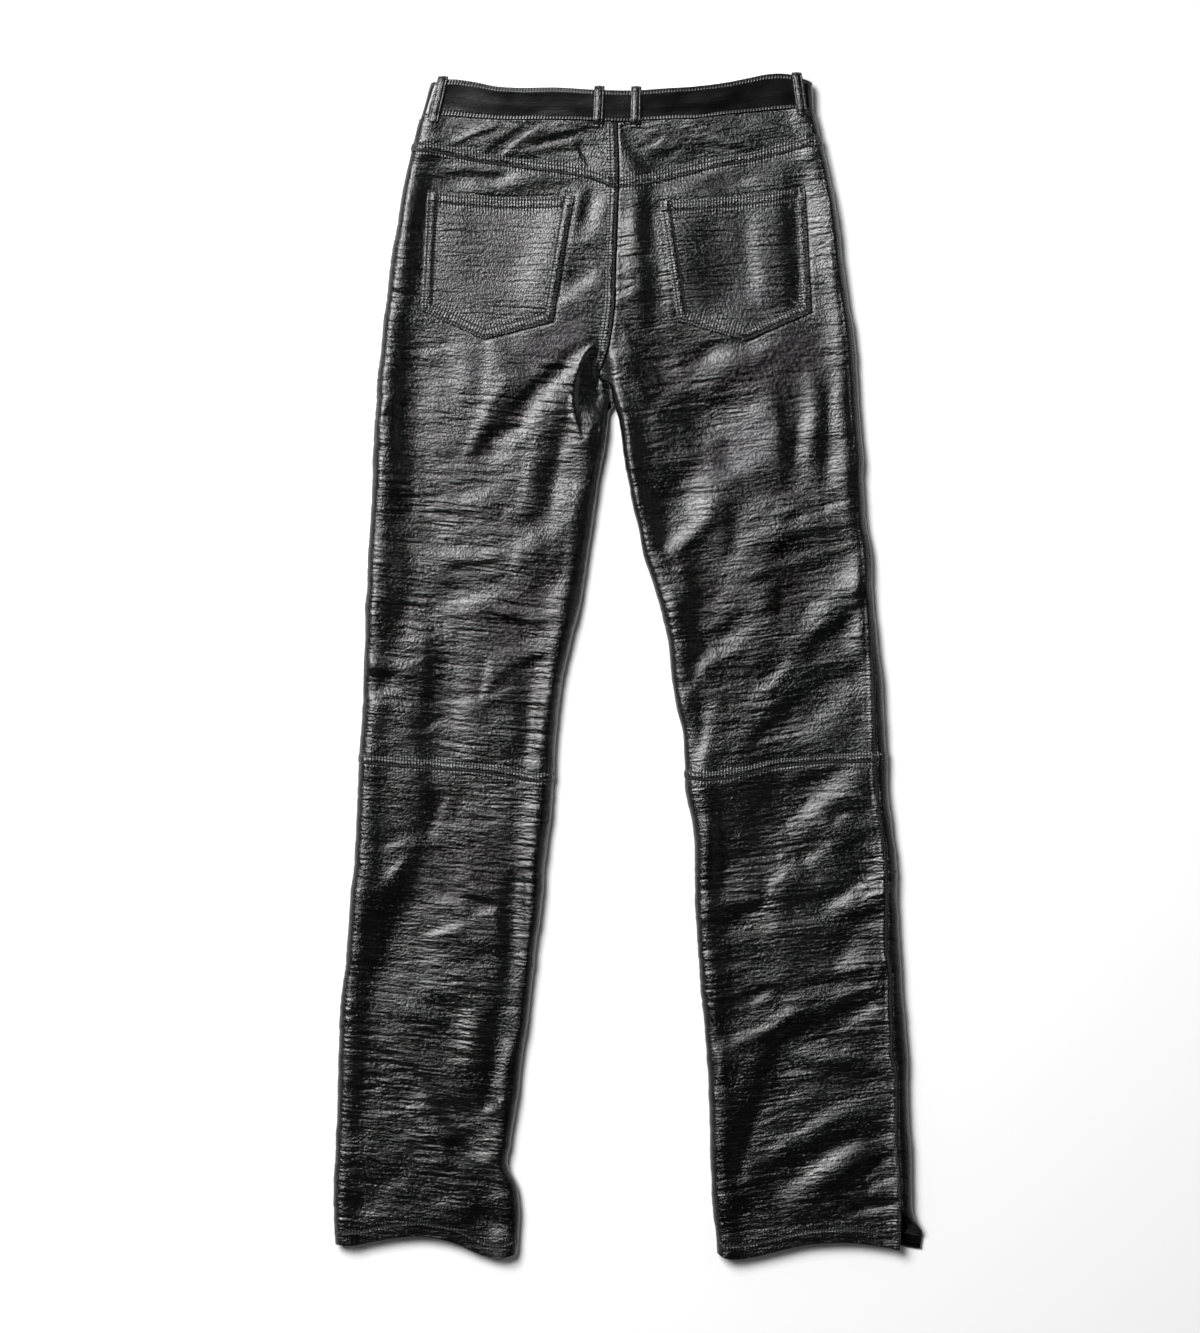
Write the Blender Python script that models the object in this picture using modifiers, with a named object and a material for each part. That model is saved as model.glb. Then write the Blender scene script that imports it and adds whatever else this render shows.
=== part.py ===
"""Leather trousers laid out flat with their back up.

Jeans cut: a waistband with six belt loops, back yokes, two patch pockets, legs cut as thigh and calf
panels that meet at a knee seam, a fly with a zip and a button, and a vent at each side hem.
Metres, +Z up. The origin is under the middle of the garment, on the surface it lies on, and +Y runs
from the hems to the waist.

Each leg is a leather tube pressed flat: the front lies on the surface, the back lies over it, and the
hide rolls over from one to the other at the outline. Every panel is a sheet on that one drape, which
the tables below give in millimetres: x to the right of the centre back seam, and down from the top of
the waistband at that seam.
"""

import math

import bmesh
import bpy
import numpy as np

MM = 0.001
COLLECTION = "leather_trousers"

# The garment's own sizes
LEATHER = 1.2 * MM
BAND_THICKNESS = 2.4 * MM
SEAM_GAP = 0.3 * MM
LAP_WIDTH = 8.0 * MM  # a lapped seam's raised strip, between its two rows of stitches
LAP_RISE = 0.8 * MM
LAP_STEP = 1.5 * MM
YOKE_LENGTH = 50 * MM
THIGH_LENGTH = 590 * MM
VENT_TOP = 1117 * MM
VENT_LENGTH = 45 * MM
VENT_FLARE = 16 * MM  # the front panel's corner lies out flat beside the vent
HEM_SHORTER = 4 * MM  # the front hem, against the back hem over it
BAND_PAST_CENTRE = 17 * MM
BAND_STEP_FROM = 40 * MM
BAND_STEP_LENGTH = 18 * MM
BAND_NEAR_ROLL = np.array([17, 23, 31]) * MM
BELT_GAP = 1.8 * MM
LOOP_WIDTH = 10.5 * MM
LOOP_THICKNESS = 1.6 * MM
LOOP_FOOT = 4.0 * MM
LOOP_SEAT = 0.5 * MM
TAIL_SEAT = 1.3 * MM
LOOP_CLEAR = 3.0 * MM
LOOP_TAIL = 6.0 * MM
POCKET_HEM = 9 * MM
POCKET_BRIDGES = 5 * MM  # it lies over dips in the panel of up to four of these
BUTTON_RADIUS = 8.5 * MM
ZIP_WIDTH = 28 * MM
ZIP_THICKNESS = 1.6 * MM
UNDERLAP_WIDTH = 38 * MM
FLY_LENGTH = 150 * MM
PROBE = 0.05 * MM  # the step that a surface's slope is read over

# How it lies
GARMENT_MIDDLE_X = 11.4 * MM
GARMENT_MIDDLE_DOWN = 576.0 * MM
ROLL_RADIUS = 8.0 * MM
LEAST_ROLL = 0.4 * MM
BAND_ROLL_RADIUS = 7.0 * MM
BAND_HEIGHT = 17.2 * MM
FRONT_BAND_LIFT = 3.8 * MM  # the front waistband lies on its loops and button
LIFT_HOLDS_TO = 45 * MM
LIFT_FADES_AT = 120 * MM
LEAST_HEIGHT = 9.6 * MM  # the back never sinks onto the front
SHOULDER_SWELL = 2.0 * MM
SHOULDER_IN = 12 * MM
SHOULDER_WIDTH = 11 * MM
CROTCH_DOWN = 283 * MM
CROTCH_X = -18 * MM
CROTCH_HOLLOW = 10.0 * MM
CROTCH_LIFT = 2.0 * MM
CROTCH_REACH = 14 * MM
FOLD_STEEP = 1.2  # a fold's slope, for a rise of 1 over a width of 1
FOLD_REACH = 3.5  # how many widths away it has eased back


def table(names, *rows):
    """Rows of millimetres as named columns of metres. The column turn keeps its degrees."""
    found = {}
    for name, values in zip(names.split(), np.array(rows, float).T):
        found[name] = values if name == "turn" else values * MM
    return found


LEFT_OUTLINE = table(
    "down outer",
    (-10, -184), (30, -198), (70, -208), (110, -216), (160, -224), (210, -231), (250, -235.5),
    (310, -241), (360, -243), (410, -245), (460, -249), (510, -250.5), (560, -253), (610, -254.5),
    (660, -257.5), (710, -260), (760, -262), (810, -267), (860, -270), (910, -275.5),
    (960, -278), (1010, -279.5), (1060, -282), (1110, -283), (1160, -282),
)
LEFT_INNER = table(
    "down inner",
    (283, -18), (290, -14.5), (300, -10.5), (312, -7), (325, -8.5), (340, -10), (360, -12.5),
    (385, -17.5), (410, -21), (460, -28), (510, -36), (560, -48), (610, -58), (660, -61.5),
    (710, -64.5), (760, -70), (810, -75), (860, -81), (910, -86.5), (960, -93), (1010, -99.5),
    (1055, -107), (1076, -109.5), (1095, -101), (1115, -97), (1145, -97.5), (1170, -101),
)
RIGHT_OUTLINE = table(
    "down outer",
    (-10, 194), (25, 198.5), (50, 204.5), (90, 214), (130, 221), (170, 226.5), (210, 232),
    (250, 237.5), (310, 242.5), (360, 246), (410, 248), (435, 250), (453, 253.5), (500, 256.5),
    (550, 260), (580, 264.5), (620, 267), (660, 270), (710, 272.5), (760, 278.5), (810, 281),
    (860, 283.5), (910, 286.5), (960, 291), (1010, 292), (1060, 294), (1110, 295.5), (1165, 296),
)
RIGHT_INNER = table(
    "down inner",
    (283, -17.4), (290, -9), (300, -5), (312, -2.5), (336, 3), (368, 7), (399, 12.6), (432, 20),
    (470, 28), (499, 37.5), (524, 45), (550, 51), (592, 55.4), (616, 59.6), (641, 65.4),
    (675, 67.5), (700, 69), (741, 76), (766, 78), (810, 78), (854, 81.3), (886, 83.7),
    (940, 87.5), (1010, 92), (1060, 93.5), (1110, 95), (1160, 100),
)
CENTRE_BACK = table(
    "down x",
    (0, 0), (33, 0.5), (88, 1.6), (141, -0.2), (187, -1.7), (218, -2.5), (241, -5.5), (260, -9.3),
    (283, -18),
)
CENTRE_FRONT = table("down x", (0, 2), (150, 2), (200, 1), (230, -2), (260, -8), (283, -18))
# How far in from the outline each outer leg seam lies, on the back where it is above 0
LEFT_OUTSEAM = table("down inset", (0, -2), (1060, -2), (1117, -2), (1165, 1))
RIGHT_OUTSEAM = table(
    "down inset",
    (0, 1), (200, 2), (310, 3), (410, 2), (453, 3), (550, 4), (580, 7), (620, 8.5), (675, 10.5),
    (710, 10), (760, 9), (810, 9.5), (860, 12), (886, 9.5), (910, 11), (941, 13), (965, 14.5),
    (981, 11), (1010, 10.5), (1059, 13), (1095, 10.5), (1117, 11), (1165, 13),
)
# The same for each inner leg seam, from the inner outline
LEFT_INSEAM = table("down inset", (283, 3), (340, 3), (385, 1.5), (430, -1.5), (1170, -1.5))
RIGHT_INSEAM = table("down inset", (283, -2), (1170, -2))

BAND_TOP = table(
    "x down",
    (-187, -6), (-168, -9.6), (-146, -7.6), (-120, -2.5), (-105, -1.4), (-57, -1.4), (-24, 0.6),
    (26, 1), (45, -0.4), (83, -3), (109, -6.5), (132, -11), (149, -14.5), (173, -14.5), (194, -7),
)
BAND_BOTTOM = table(
    "x down",
    (-198, 29), (-176, 26.6), (-156, 27.7), (-135, 29.2), (-115, 30.2), (-57, 30.2), (-12, 31.7),
    (12, 32.2), (26, 31.2), (56, 29.7), (83, 28.7), (97, 26.8), (132, 23.4), (166, 20.2),
    (178, 19.2), (199, 23),
)
FRONT_BAND_TOP = table("x down", (-187, -6), (-180, -7), (0, 20), (187, -9.7), (194, -7))
FRONT_BAND_BOTTOM = table("x down", (-198, 29), (-190, 28.1), (0, 52), (191, 21.5), (199, 23))
YOKE_SEAM = table(
    "x down",
    (-208, 61), (-176, 64.4), (-146, 71), (-115, 75.6), (-84, 79.7), (-57, 83.3), (-26, 89.4),
    (0, 98), (25, 94.5), (45, 91.2), (63, 86.5), (97, 78), (132, 72.4), (166, 63.6), (195, 56.5),
    (208, 55),
)
LEFT_KNEE_SEAM = table(
    "x down",
    (-259, 672.7), (-221, 676.9), (-171, 680.2), (-138, 682.7), (-105, 688.5), (-80, 691.8),
    (-62, 691), (0, 690),
)
RIGHT_KNEE_SEAM = table(
    "x down",
    (0, 690), (68, 688.5), (84, 690.5), (126, 686), (159, 678.5), (209, 673.5), (259, 671.5), (271, 669.5),
)
LEFT_HEM = table(
    "x down",
    (-282, 1155), (-262, 1155.6), (-245, 1152), (-219, 1147.8), (-200, 1146.6), (-176, 1149.5),
    (-159, 1154.7), (-142, 1162.5), (-120, 1168.6), (-101, 1165),
)
RIGHT_HEM = table(
    "x down",
    (97, 1161), (105, 1167), (118, 1169.6), (135, 1167.6), (160, 1161.6), (186, 1155.6),
    (212, 1153.3), (238, 1153.5), (264, 1157), (300, 1164),
)
LEVEL = table(
    "down height",
    (0, 15.2), (120, 15.0), (250, 14.6), (330, 14.4), (600, 14.0), (900, 13.6), (1165, 13.0),
)

# face (1 on the back, -1 on the front), x at the top of the waistband, x at its foot
BELT_LOOPS = {
    "side_left": (1, -174.4, -182.4),
    "centre_left": (1, -17.6, -19.0),
    "centre_right": (1, 19.2, 18.4),
    "side_right": (1, 179.9, 184.3),
    "front_left": (-1, -100, -104),
    "front_right": (-1, 100, 104),
}
# corners as (x, down): top outer, top inner, bottom inner, tip, bottom outer; then the mouth's sag
POCKETS = {
    "left": (
        *(np.array(corner) * MM for corner in (
            (-189, 101), (-43, 106), (-64, 231.8), (-132.8, 249.6), (-195.3, 220.3),
        )), 4 * MM,
    ),
    "right": (
        *(np.array(corner) * MM for corner in (
            (187.3, 97.6), (43, 112), (61, 230.8), (129.2, 251), (194, 222.4),
        )), 2 * MM,
    ),
}

# The largest folds. The hide slopes one way along each fold's line, and eases back slowly on either side:
# rise is half of its climb, above 0 where it faces the left of its line. turn is in degrees, counterclockwise
# from +x as seen from above.
FOLDS = table(
    "x down turn length width rise bend",
    # yokes and waist
    (102, 67, -38, 147, 9, -1.6, 3),
    (12, 60, 114, 74, 8, -1.3, 0),
    (69, 93, 23, 85, 9, 1.8, 2),
    (182, 61, 27, 85, 9, 1.3, 0),
    # seat
    (-204, 149, 89, 159, 9, -1.3, 0),
    (-81, 161, 76, 148, 25, 3, 0),
    (28, 152, 91, 191, 9, -1.9, 0),
    (12, 151, 89, 127, 8, 1.1, 0),
    (34, 275, 93, 195, 20, -3, 0),
    (49, 176, 94, 152, 8, 1, 0),
    (172, 155, 91, 190, 9, -1.6, 0),
    (137, 168, 93, 111, 8, 1, 0),
    (85, 176, 93, 115, 22, -1.8, 0),
    # left thigh
    (-213, 309, 90, 211, 15, -2.5, 0),
    (-214, 445, 90, 169, 13, -1.8, 0),
    (-221, 529, 78, 77, 9, -1.5, 0),
    (-63, 357, 73, 198, 12, -1.9, -4),
    (-129, 282, 83, 88, 8, 1.1, 0),
    (-161, 272, 88, 98, 20, 1.6, 0),
    (-115, 360, 63, 58, 10, 1.1, 0),
    (-39, 442, 84, 320, 11, -2.5, 0),
    (-146, 465, 88, 221, 34, 1.8, 0),
    (-77, 474, 82, 75, 10, -1.3, 0),
    (-187, 574, 83, 83, 11, -2, 0),
    (-58, 475, 85, 91, 8, -1, 0),
    # right thigh
    (60, 347, 78, 141, 26, -4.3, -4),
    (44, 423, 81, 113, 14, -2, 0),
    (17, 373, 97, 175, 11, -2.1, 0),
    (232, 345, 92, 273, 8, -1.5, 0),
    (189, 339, 90, 148, 8, 1.6, 0),
    (206, 336, 90, 114, 8, -1.5, 0),
    (124, 350, 81, 105, 26, 2.5, 0),
    (84, 401, 62, 62, 14, 1.6, 0),
    (54, 494, 89, 73, 8, 1.2, 0),
    (75, 512, 88, 130, 11, -2.2, 0),
    (111, 439, 92, 70, 10, -1.9, 0),
    (222, 530, 46, 124, 10, -2.3, 3),
    (218, 502, 53, 98, 14, 2, 0),
    (243, 532, 71, 65, 9, 1.4, 0),
    (123, 450, 87, 104, 20, 1.3, 0),
    # left calf
    (-193, 650, 90, 130, 13, -2.1, 0),
    (-198, 745, 69, 125, 14, -2.2, 0),
    (-229, 826, 72, 133, 17, -3, -3),
    (-157, 628, 90, 150, 13, 2, 0),
    (-95, 638, 87, 98, 10, -1.1, 0),
    (-62, 630, 83, 183, 8, -1.5, 0),
    (-160, 762, 88, 137, 18, 1.1, 0),
    (-110, 849, 89, 159, 9, -2, 0),
    (-184, 862, 86, 124, 24, 2.5, 0),
    (-151, 942, 86, 85, 10, 1.9, 0),
    (-130, 954, 87, 115, 9, -1.6, -2),
    (-108, 979, 85, 76, 9, -1.8, 0),
    (-254, 860, 80, 132, 12, -1.1, 0),
    (-170, 1045, 104, 80, 14, -2, 0),
    (-258, 1049, 39, 45, 12, 1, 0),
    (-143, 1105, 83, 92, 12, -1.3, 0),
    (-249, 1122, 38, 53, 14, 1.1, 0),
    # right calf
    (134, 714, 81, 147, 24, -4.1, -4),
    (86, 651, 86, 128, 8, 1.6, 0),
    (99, 758, 85, 124, 10, -2, 0),
    (207, 709, 42, 120, 13, 2.5, 0),
    (209, 624, 40, 88, 14, 2, 0),
    (253, 684, 87, 94, 10, -2.1, 0),
    (158, 628, 42, 94, 8, -1.5, 0),
    (248, 746, 31, 82, 8, -1.6, 0),
    (202, 761, 40, 44, 9, 1.4, 0),
    (238, 802, 31, 82, 8, 1.7, 0),
    (155, 804, 77, 117, 9, 1.1, 0),
    (105, 835, 45, 74, 12, -1.5, 0),
    (190, 934, 19, 178, 8, -2, 5),
    (243, 925, 27, 64, 8, 1.8, 0),
    (138, 1010, 74, 201, 13, -3, -8),
    (194, 1036, 28, 133, 8, 1.6, 3),
    (204, 1056, 20, 164, 8, -1.8, 0),
    (202, 1080, 34, 122, 10, 2.5, 0),
    (240, 1084, 32, 119, 9, -2, 0),
    (234, 863, 49, 52, 9, 1.5, 0),
    (271, 895, 92, 299, 8, -1.5, 0),
    (129, 1110, 38, 85, 10, -1.6, 0),
)


def smooth(at, xs, ys):
    """A cubic curve through a table's points, with the chords either side giving each slope."""
    slopes = np.gradient(ys, xs)
    at = np.clip(at, xs[0], xs[-1])
    i = np.clip(np.searchsorted(xs, at, side="right") - 1, 0, len(xs) - 2)
    span = xs[i + 1] - xs[i]
    t = (at - xs[i]) / span
    return (
        ys[i] * (1 + 2 * t) * (1 - t) ** 2
        + ys[i + 1] * t**2 * (3 - 2 * t)
        + span * (slopes[i] * t * (1 - t) ** 2 - slopes[i + 1] * t**2 * (1 - t))
    )


def ease(t):
    """0 to 1 with level ends, for t from 0 to 1."""
    t = np.clip(t, 0, 1)
    return t * t * (3 - 2 * t)


def folds(x, down):
    """The height that all the folds add: each climbs across its line as -tanh(steep t) e^(-(t/reach)^2),
    with t the distance across it over its width, and fades to nothing at its ends as (1 - along^4)^2."""
    total = np.zeros(np.broadcast(x, down).shape)
    for i in range(len(FOLDS["x"])):
        turn = math.radians(FOLDS["turn"][i])
        dx, dy = x - FOLDS["x"][i], FOLDS["down"][i] - down
        along = (dx * math.cos(turn) + dy * math.sin(turn)) * 2 / FOLDS["length"][i]
        across = dy * math.cos(turn) - dx * math.sin(turn) - FOLDS["bend"][i] * along**2
        t = across / FOLDS["width"][i]
        fade = np.clip(1 - along**4, 0, 1) ** 2
        total -= FOLDS["rise"][i] * fade * np.tanh(FOLD_STEEP * t) * np.exp(-((t / FOLD_REACH) ** 2))
    return total


class Half:
    """One half of the garment, left (side -1) or right (side 1): its outline, seams and drape."""

    def __init__(self, side, outline, inner, outseam, inseam, knee_seam, hem,
                 vent_flare, vent_start, roll_grows, back_near, back_far, front_near, front_far):
        self.side = side
        self.outline = outline
        self.inner = inner
        self.outseam = outseam
        self.inseam = inseam
        self.knee_seam = knee_seam
        self.hem = hem
        self.vent_flare = vent_flare
        self.vent_start = vent_start
        self.roll_grows = roll_grows
        self.back_near = back_near
        self.back_far = back_far
        self.front_near = front_near
        self.front_far = front_far

    def outer_x(self, down):
        return smooth(down, self.outline["down"], self.outline["outer"])

    def inner_x(self, down, centre):
        """The inner edge of the drape: the centre seam above the crotch, the leg's outline below it."""
        seam_x = smooth(down, centre["down"], centre["x"]) + self.side * SEAM_GAP / 2
        leg = smooth(down, self.inner["down"], self.inner["inner"])
        return np.where(down < CROTCH_DOWN, seam_x, leg)

    def inner_radius(self, down):
        """The roll at the inner edge, which grows from nothing at the crotch."""
        grown = ease((down - CROTCH_DOWN) / self.roll_grows)
        return LEAST_ROLL + (ROLL_RADIUS - LEAST_ROLL) * grown

    def across(self, face, down):
        """The outer and inner outline, the inner roll, and the hide's length across one face."""
        outline = self.outer_x(down)
        if face < 0:
            outline = outline + self.side * self.vent_flare * ease((down - VENT_TOP) / VENT_LENGTH)
        inner = self.inner_x(down, CENTRE_BACK if face > 0 else CENTRE_FRONT)
        radius_in = self.inner_radius(down)
        flat = np.abs(inner - outline) - ROLL_RADIUS - radius_in
        return outline, inner, radius_in, flat + (ROLL_RADIUS + radius_in) * math.pi / 2

    def edges(self, face, down):
        """Where a panel starts and stops, along the hide from the outer outline."""
        outseam = along_roll(smooth(down, self.outseam["down"], self.outseam["inset"]), ROLL_RADIUS)
        start = face * outseam + SEAM_GAP / 2
        if face < 0:
            start = start + (self.vent_start - start) * ease((down - VENT_TOP) / VENT_LENGTH)
        _, _, radius_in, whole = self.across(face, down)
        on_leg = ease((down - CROTCH_DOWN + 2 * MM) / (16 * MM))
        inset = smooth(down, self.inseam["down"], self.inseam["inset"])
        inseam = face * along_roll(inset, ROLL_RADIUS) * radius_in / ROLL_RADIUS
        end = radius_in * math.pi / 2 * (1 - on_leg) + (inseam + SEAM_GAP / 2) * on_leg
        return start, whole - end

    def skin(self, x, down):
        """The height of the back's outer face."""
        outline_in = np.abs(x - self.outer_x(down))
        leg_in = np.abs(x - smooth(down, self.inner["down"], self.inner["inner"]))
        leg = ease((down - CROTCH_DOWN) / (60 * MM))
        swell = np.exp(-(((outline_in - SHOULDER_IN) / SHOULDER_WIDTH) ** 2))
        swell += leg * np.exp(-(((leg_in - SHOULDER_IN) / SHOULDER_WIDTH) ** 2))
        height = smooth(down, LEVEL["down"], LEVEL["height"])
        height = np.maximum(height + SHOULDER_SWELL * swell + folds(x, down), LEAST_HEIGHT)
        below = np.where(down > CROTCH_DOWN, 75 * MM, 26 * MM)
        hollow = np.exp(-(((x - CROTCH_X) / (11 * MM)) ** 2) - ((down - CROTCH_DOWN) / below) ** 2)
        return height - CROTCH_HOLLOW * hollow

    def ground(self, x, down):
        """The height of the front's outer face, which rests on the surface below the waist."""
        lift = FRONT_BAND_LIFT * (1 - ease((down - LIFT_HOLDS_TO) / (LIFT_FADES_AT - LIFT_HOLDS_TO)))
        away = np.hypot(x - CROTCH_X, down - CROTCH_DOWN) / CROTCH_REACH
        return lift + CROTCH_LIFT * np.exp(-(away**2))


HALVES = {
    "left": Half(
        side=-1, outline=LEFT_OUTLINE, inner=LEFT_INNER, outseam=LEFT_OUTSEAM, inseam=LEFT_INSEAM,
        knee_seam=LEFT_KNEE_SEAM, hem=LEFT_HEM,
        vent_flare=0.0, vent_start=8 * MM, roll_grows=90 * MM,
        back_near=(0, 5, 10, 15, 20), back_far=(17, 9, 8, 4, 0),
        front_near=(0, 4, 8), front_far=(18, 12, 6, 0),
    ),
    "right": Half(
        side=1, outline=RIGHT_OUTLINE, inner=RIGHT_INNER, outseam=RIGHT_OUTSEAM, inseam=RIGHT_INSEAM,
        knee_seam=RIGHT_KNEE_SEAM, hem=RIGHT_HEM,
        vent_flare=VENT_FLARE, vent_start=ROLL_RADIUS * math.pi / 2, roll_grows=40 * MM,
        back_near=(0, 5, 10, 16), back_far=(20, 15, 10, 5, 0),
        front_near=(0, 7, 14, 20, 26), front_far=(8, 4, 0),
    ),
}


def quarter(radius):
    """The length of a quarter of a roll."""
    return radius * math.pi / 2


def along_roll(inset, radius):
    """How far along the hide a seam lies from the outline, from how far in it is seen from above."""
    turned = np.arccos(np.clip(1 - np.abs(inset) / radius, 0, 1))
    return np.sign(inset) * (radius * turned + np.maximum(np.abs(inset) - radius, 0))


def columns(start, stop, near, far, middle):
    """Places across a panel: near and far list distances from its two edges, even steps between."""
    first = start + np.array(near) * MM
    last = stop - np.array(far) * MM
    steps = np.linspace(0, 1, middle + 1)[1:-1]
    return np.concatenate([first, first[:, -1:] + (last[:, :1] - first[:, -1:]) * steps, last], axis=1)


def hide_points(half, face, place, down):
    """Points on one face of a half, from how far along the hide they lie past its outer outline.
    face is 1 for the back and -1 for the front."""
    outline, inner, radius_in, whole = half.across(face, down)
    rest = whole - place
    outer_turn = np.clip(place / quarter(ROLL_RADIUS), -1, 1) * math.pi / 2
    inner_turn = np.clip(rest / quarter(radius_in), -1, 1) * math.pi / 2
    past_outer = np.maximum(np.abs(place) - quarter(ROLL_RADIUS), 0)
    past_inner = np.maximum(np.abs(rest) - quarter(radius_in), 0)
    from_outer = ROLL_RADIUS * (1 - np.cos(outer_turn)) + past_outer
    from_inner = radius_in * (1 - np.cos(inner_turn)) + past_inner
    x = np.where(place < whole / 2, outline - half.side * from_outer, inner + half.side * from_inner)
    turned = (1 - np.sin(outer_turn)) / 2 + (1 - np.sin(inner_turn)) / 2
    lifted = 1 - turned if face > 0 else turned
    low, high = half.ground(x, down), half.skin(x, down)
    return np.stack([x, down + 0 * x, low + (high - low) * lifted], axis=-1)


def unit_normals(across, along):
    """Normals from two slopes. Those of the first and last rows lie square to the seams there."""
    out = np.cross(across, along)
    out[[0, -1], :, 1] = 0
    return out / np.linalg.norm(out, axis=-1, keepdims=True)


def panel(half, face, stages, near, far, middle):
    """A panel's outer points and their normals. stages gives its rows from the top: pairs of seams,
    each a function of x, with the rows' shares of the way between them. It settles x and down in
    turn, because the outline depends on down and the seams on x."""
    rows = sum(len(shares) for _, _, shares in stages)
    x = half.side * 200 * MM * np.linspace(1, 0, len(near) + len(far) + middle - 1) * np.ones((rows, 1))
    for _ in range(5):
        parts = []
        for upper, lower, shares in stages:
            ahead = sum(len(part) for part in parts)
            at = x[ahead:ahead + len(shares)]
            parts.append(upper(at) + (lower(at) - upper(at)) * shares[:, None])
        down = np.concatenate(parts)
        start, stop = half.edges(face, down)
        place = columns(start[:, :1], stop[:, -1:], near, far, middle)
        points = hide_points(half, face, place, down)
        x = points[..., 0]
    ahead = hide_points(half, face, np.minimum(place + PROBE, place[:, -1:]), down)
    behind = hide_points(half, face, np.maximum(place - PROBE, place[:, :1]), down)
    along = hide_points(half, face, place, down + PROBE) - hide_points(half, face, place, down - PROBE)
    return points, -half.side * face * unit_normals(ahead - behind, along)


def placed(points):
    """Garment points (x, down, height) in the part's own frame."""
    x, down, height = points[..., 0], points[..., 1], points[..., 2]
    return np.stack([x - GARMENT_MIDDLE_X, GARMENT_MIDDLE_DOWN - down, height], axis=-1)


def material(name, colour, roughness, metallic=0.0):
    made = bpy.data.materials.new(name)
    made.use_nodes = True
    shader = made.node_tree.nodes["Principled BSDF"]
    shader.inputs["Base Color"].default_value = (*colour, 1)
    shader.inputs["Roughness"].default_value = roughness
    shader.inputs["Metallic"].default_value = metallic
    return made


def wall(name, outer, inner, finish):
    """A sheet as a solid between two grids of garment points: a loft whose every row is a ring, out
    along the outer face and back along the inner one."""
    rows, across = outer.shape[:2]
    rings = placed(np.concatenate([outer, inner[:, ::-1]], axis=1))
    ring = rings.shape[1]
    index = np.arange(rows * ring).reshape(rows, ring)
    after = np.roll(index, -1, axis=1)
    sides = np.stack([index[:-1], after[:-1], after[1:], index[1:]], axis=-1).reshape(-1, 4)
    over, under = index[[0, -1], :across], index[[0, -1], across:][:, ::-1]
    ends = np.stack([over[:, :-1], under[:, :-1], under[:, 1:], over[:, 1:]], axis=-1).reshape(-1, 4)
    faces = np.concatenate([sides, ends])
    made = bpy.data.meshes.new(name)
    made.from_pydata(rings.reshape(-1, 3), [], faces.tolist())
    shaped = bmesh.new()
    shaped.from_mesh(made)
    bmesh.ops.recalc_face_normals(shaped, faces=shaped.faces)
    shaped.to_mesh(made)
    shaped.free()
    made.shade_smooth()
    made.set_sharp_from_angle(angle=math.radians(50))
    made.materials.append(finish)
    bpy.data.collections[COLLECTION].objects.link(bpy.data.objects.new(name, made))


def seam(curve, shift=0.0):
    """A curved seam as a function of x."""
    return lambda x: smooth(x, curve["x"], curve["down"]) + shift


def straight_seam(curve, shift=0.0):
    """A seam of straight runs as a function of x."""
    return lambda x: np.interp(x, curve["x"], curve["down"]) + shift


def band_seams(face):
    """The waistband's top and bottom, curved across the back and straight across the front."""
    if face > 0:
        return seam(BAND_TOP), seam(BAND_BOTTOM)
    return straight_seam(FRONT_BAND_TOP), straight_seam(FRONT_BAND_BOTTOM)


def lapped_rows(count, length):
    """Row shares over a length, that end with the two edges of the lapped strip's step."""
    return np.append(np.linspace(0, 1 - (LAP_WIDTH + LAP_STEP) / length, count), [1 - LAP_WIDTH / length, 1])


def hide_panel(name, half, face, stages, middle, finish, lapped):
    """One panel. Its lapped strips are thicker: the last two rows, where lapped is set, and on the
    left back the columns next to the centre seam."""
    near, far = (half.back_near, half.back_far) if face > 0 else (half.front_near, half.front_far)
    points, out = panel(half, face, stages, near, far, middle)
    inner = points - out * LEATHER
    rise = np.zeros(points.shape[:2])
    if lapped:
        rise[-2:] = LAP_RISE
    if face > 0 and half.side < 0:
        strip = points[..., 0] > points[:, -1:, 0] - LAP_WIDTH - LAP_STEP / 4
        rise[strip & (points[:, -1:, 1] < CROTCH_DOWN)] = LAP_RISE
    rest = np.where(out[..., 2] < 0, 0, 1)[..., None]
    wall(name, points + out * rise[..., None] * rest, inner, finish)


def half_garment(name, half, finish):
    """The panels of one half: yoke, thigh and calf of the back, and thigh and calf of the front."""
    gap = SEAM_GAP / 2
    yoke, knee, hem = seam(YOKE_SEAM), seam(half.knee_seam), seam(half.hem)
    calf_rows = np.linspace(0, 1, 25)

    def above_yoke(face):
        band = band_seams(face)[1]
        return lambda x: band(x) + gap, lambda x: yoke(x) - gap, lapped_rows(5, YOKE_LENGTH)

    crotch = (CROTCH_DOWN - yoke(CROTCH_X)) / (knee(CROTCH_X) - yoke(CROTCH_X))
    below = lapped_rows(22, THIGH_LENGTH)
    thigh_rows = np.append(np.linspace(0, crotch, 11)[:-1], crotch + (1 - crotch) * below)
    thigh_rows[-2] = 1 - LAP_WIDTH / THIGH_LENGTH
    thigh = (lambda x: yoke(x) + gap, lambda x: knee(x) - gap, thigh_rows)
    calf = (lambda x: knee(x) + gap, hem, calf_rows)
    calf_above_hem = (calf[0], hem, calf_rows[:-1])
    front_hem = (hem, lambda x: hem(x) - HEM_SHORTER, np.ones(1))
    hide_panel("back_yoke_" + name, half, 1, [above_yoke(1)], 10, finish, True)
    hide_panel("back_thigh_" + name, half, 1, [thigh], 10, finish, True)
    hide_panel("back_calf_" + name, half, 1, [calf], 10, finish, False)
    hide_panel("front_thigh_" + name, half, -1, [above_yoke(-1), thigh], 2, finish, True)
    hide_panel("front_calf_" + name, half, -1, [calf_above_hem, front_hem], 2, finish, False)


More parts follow.
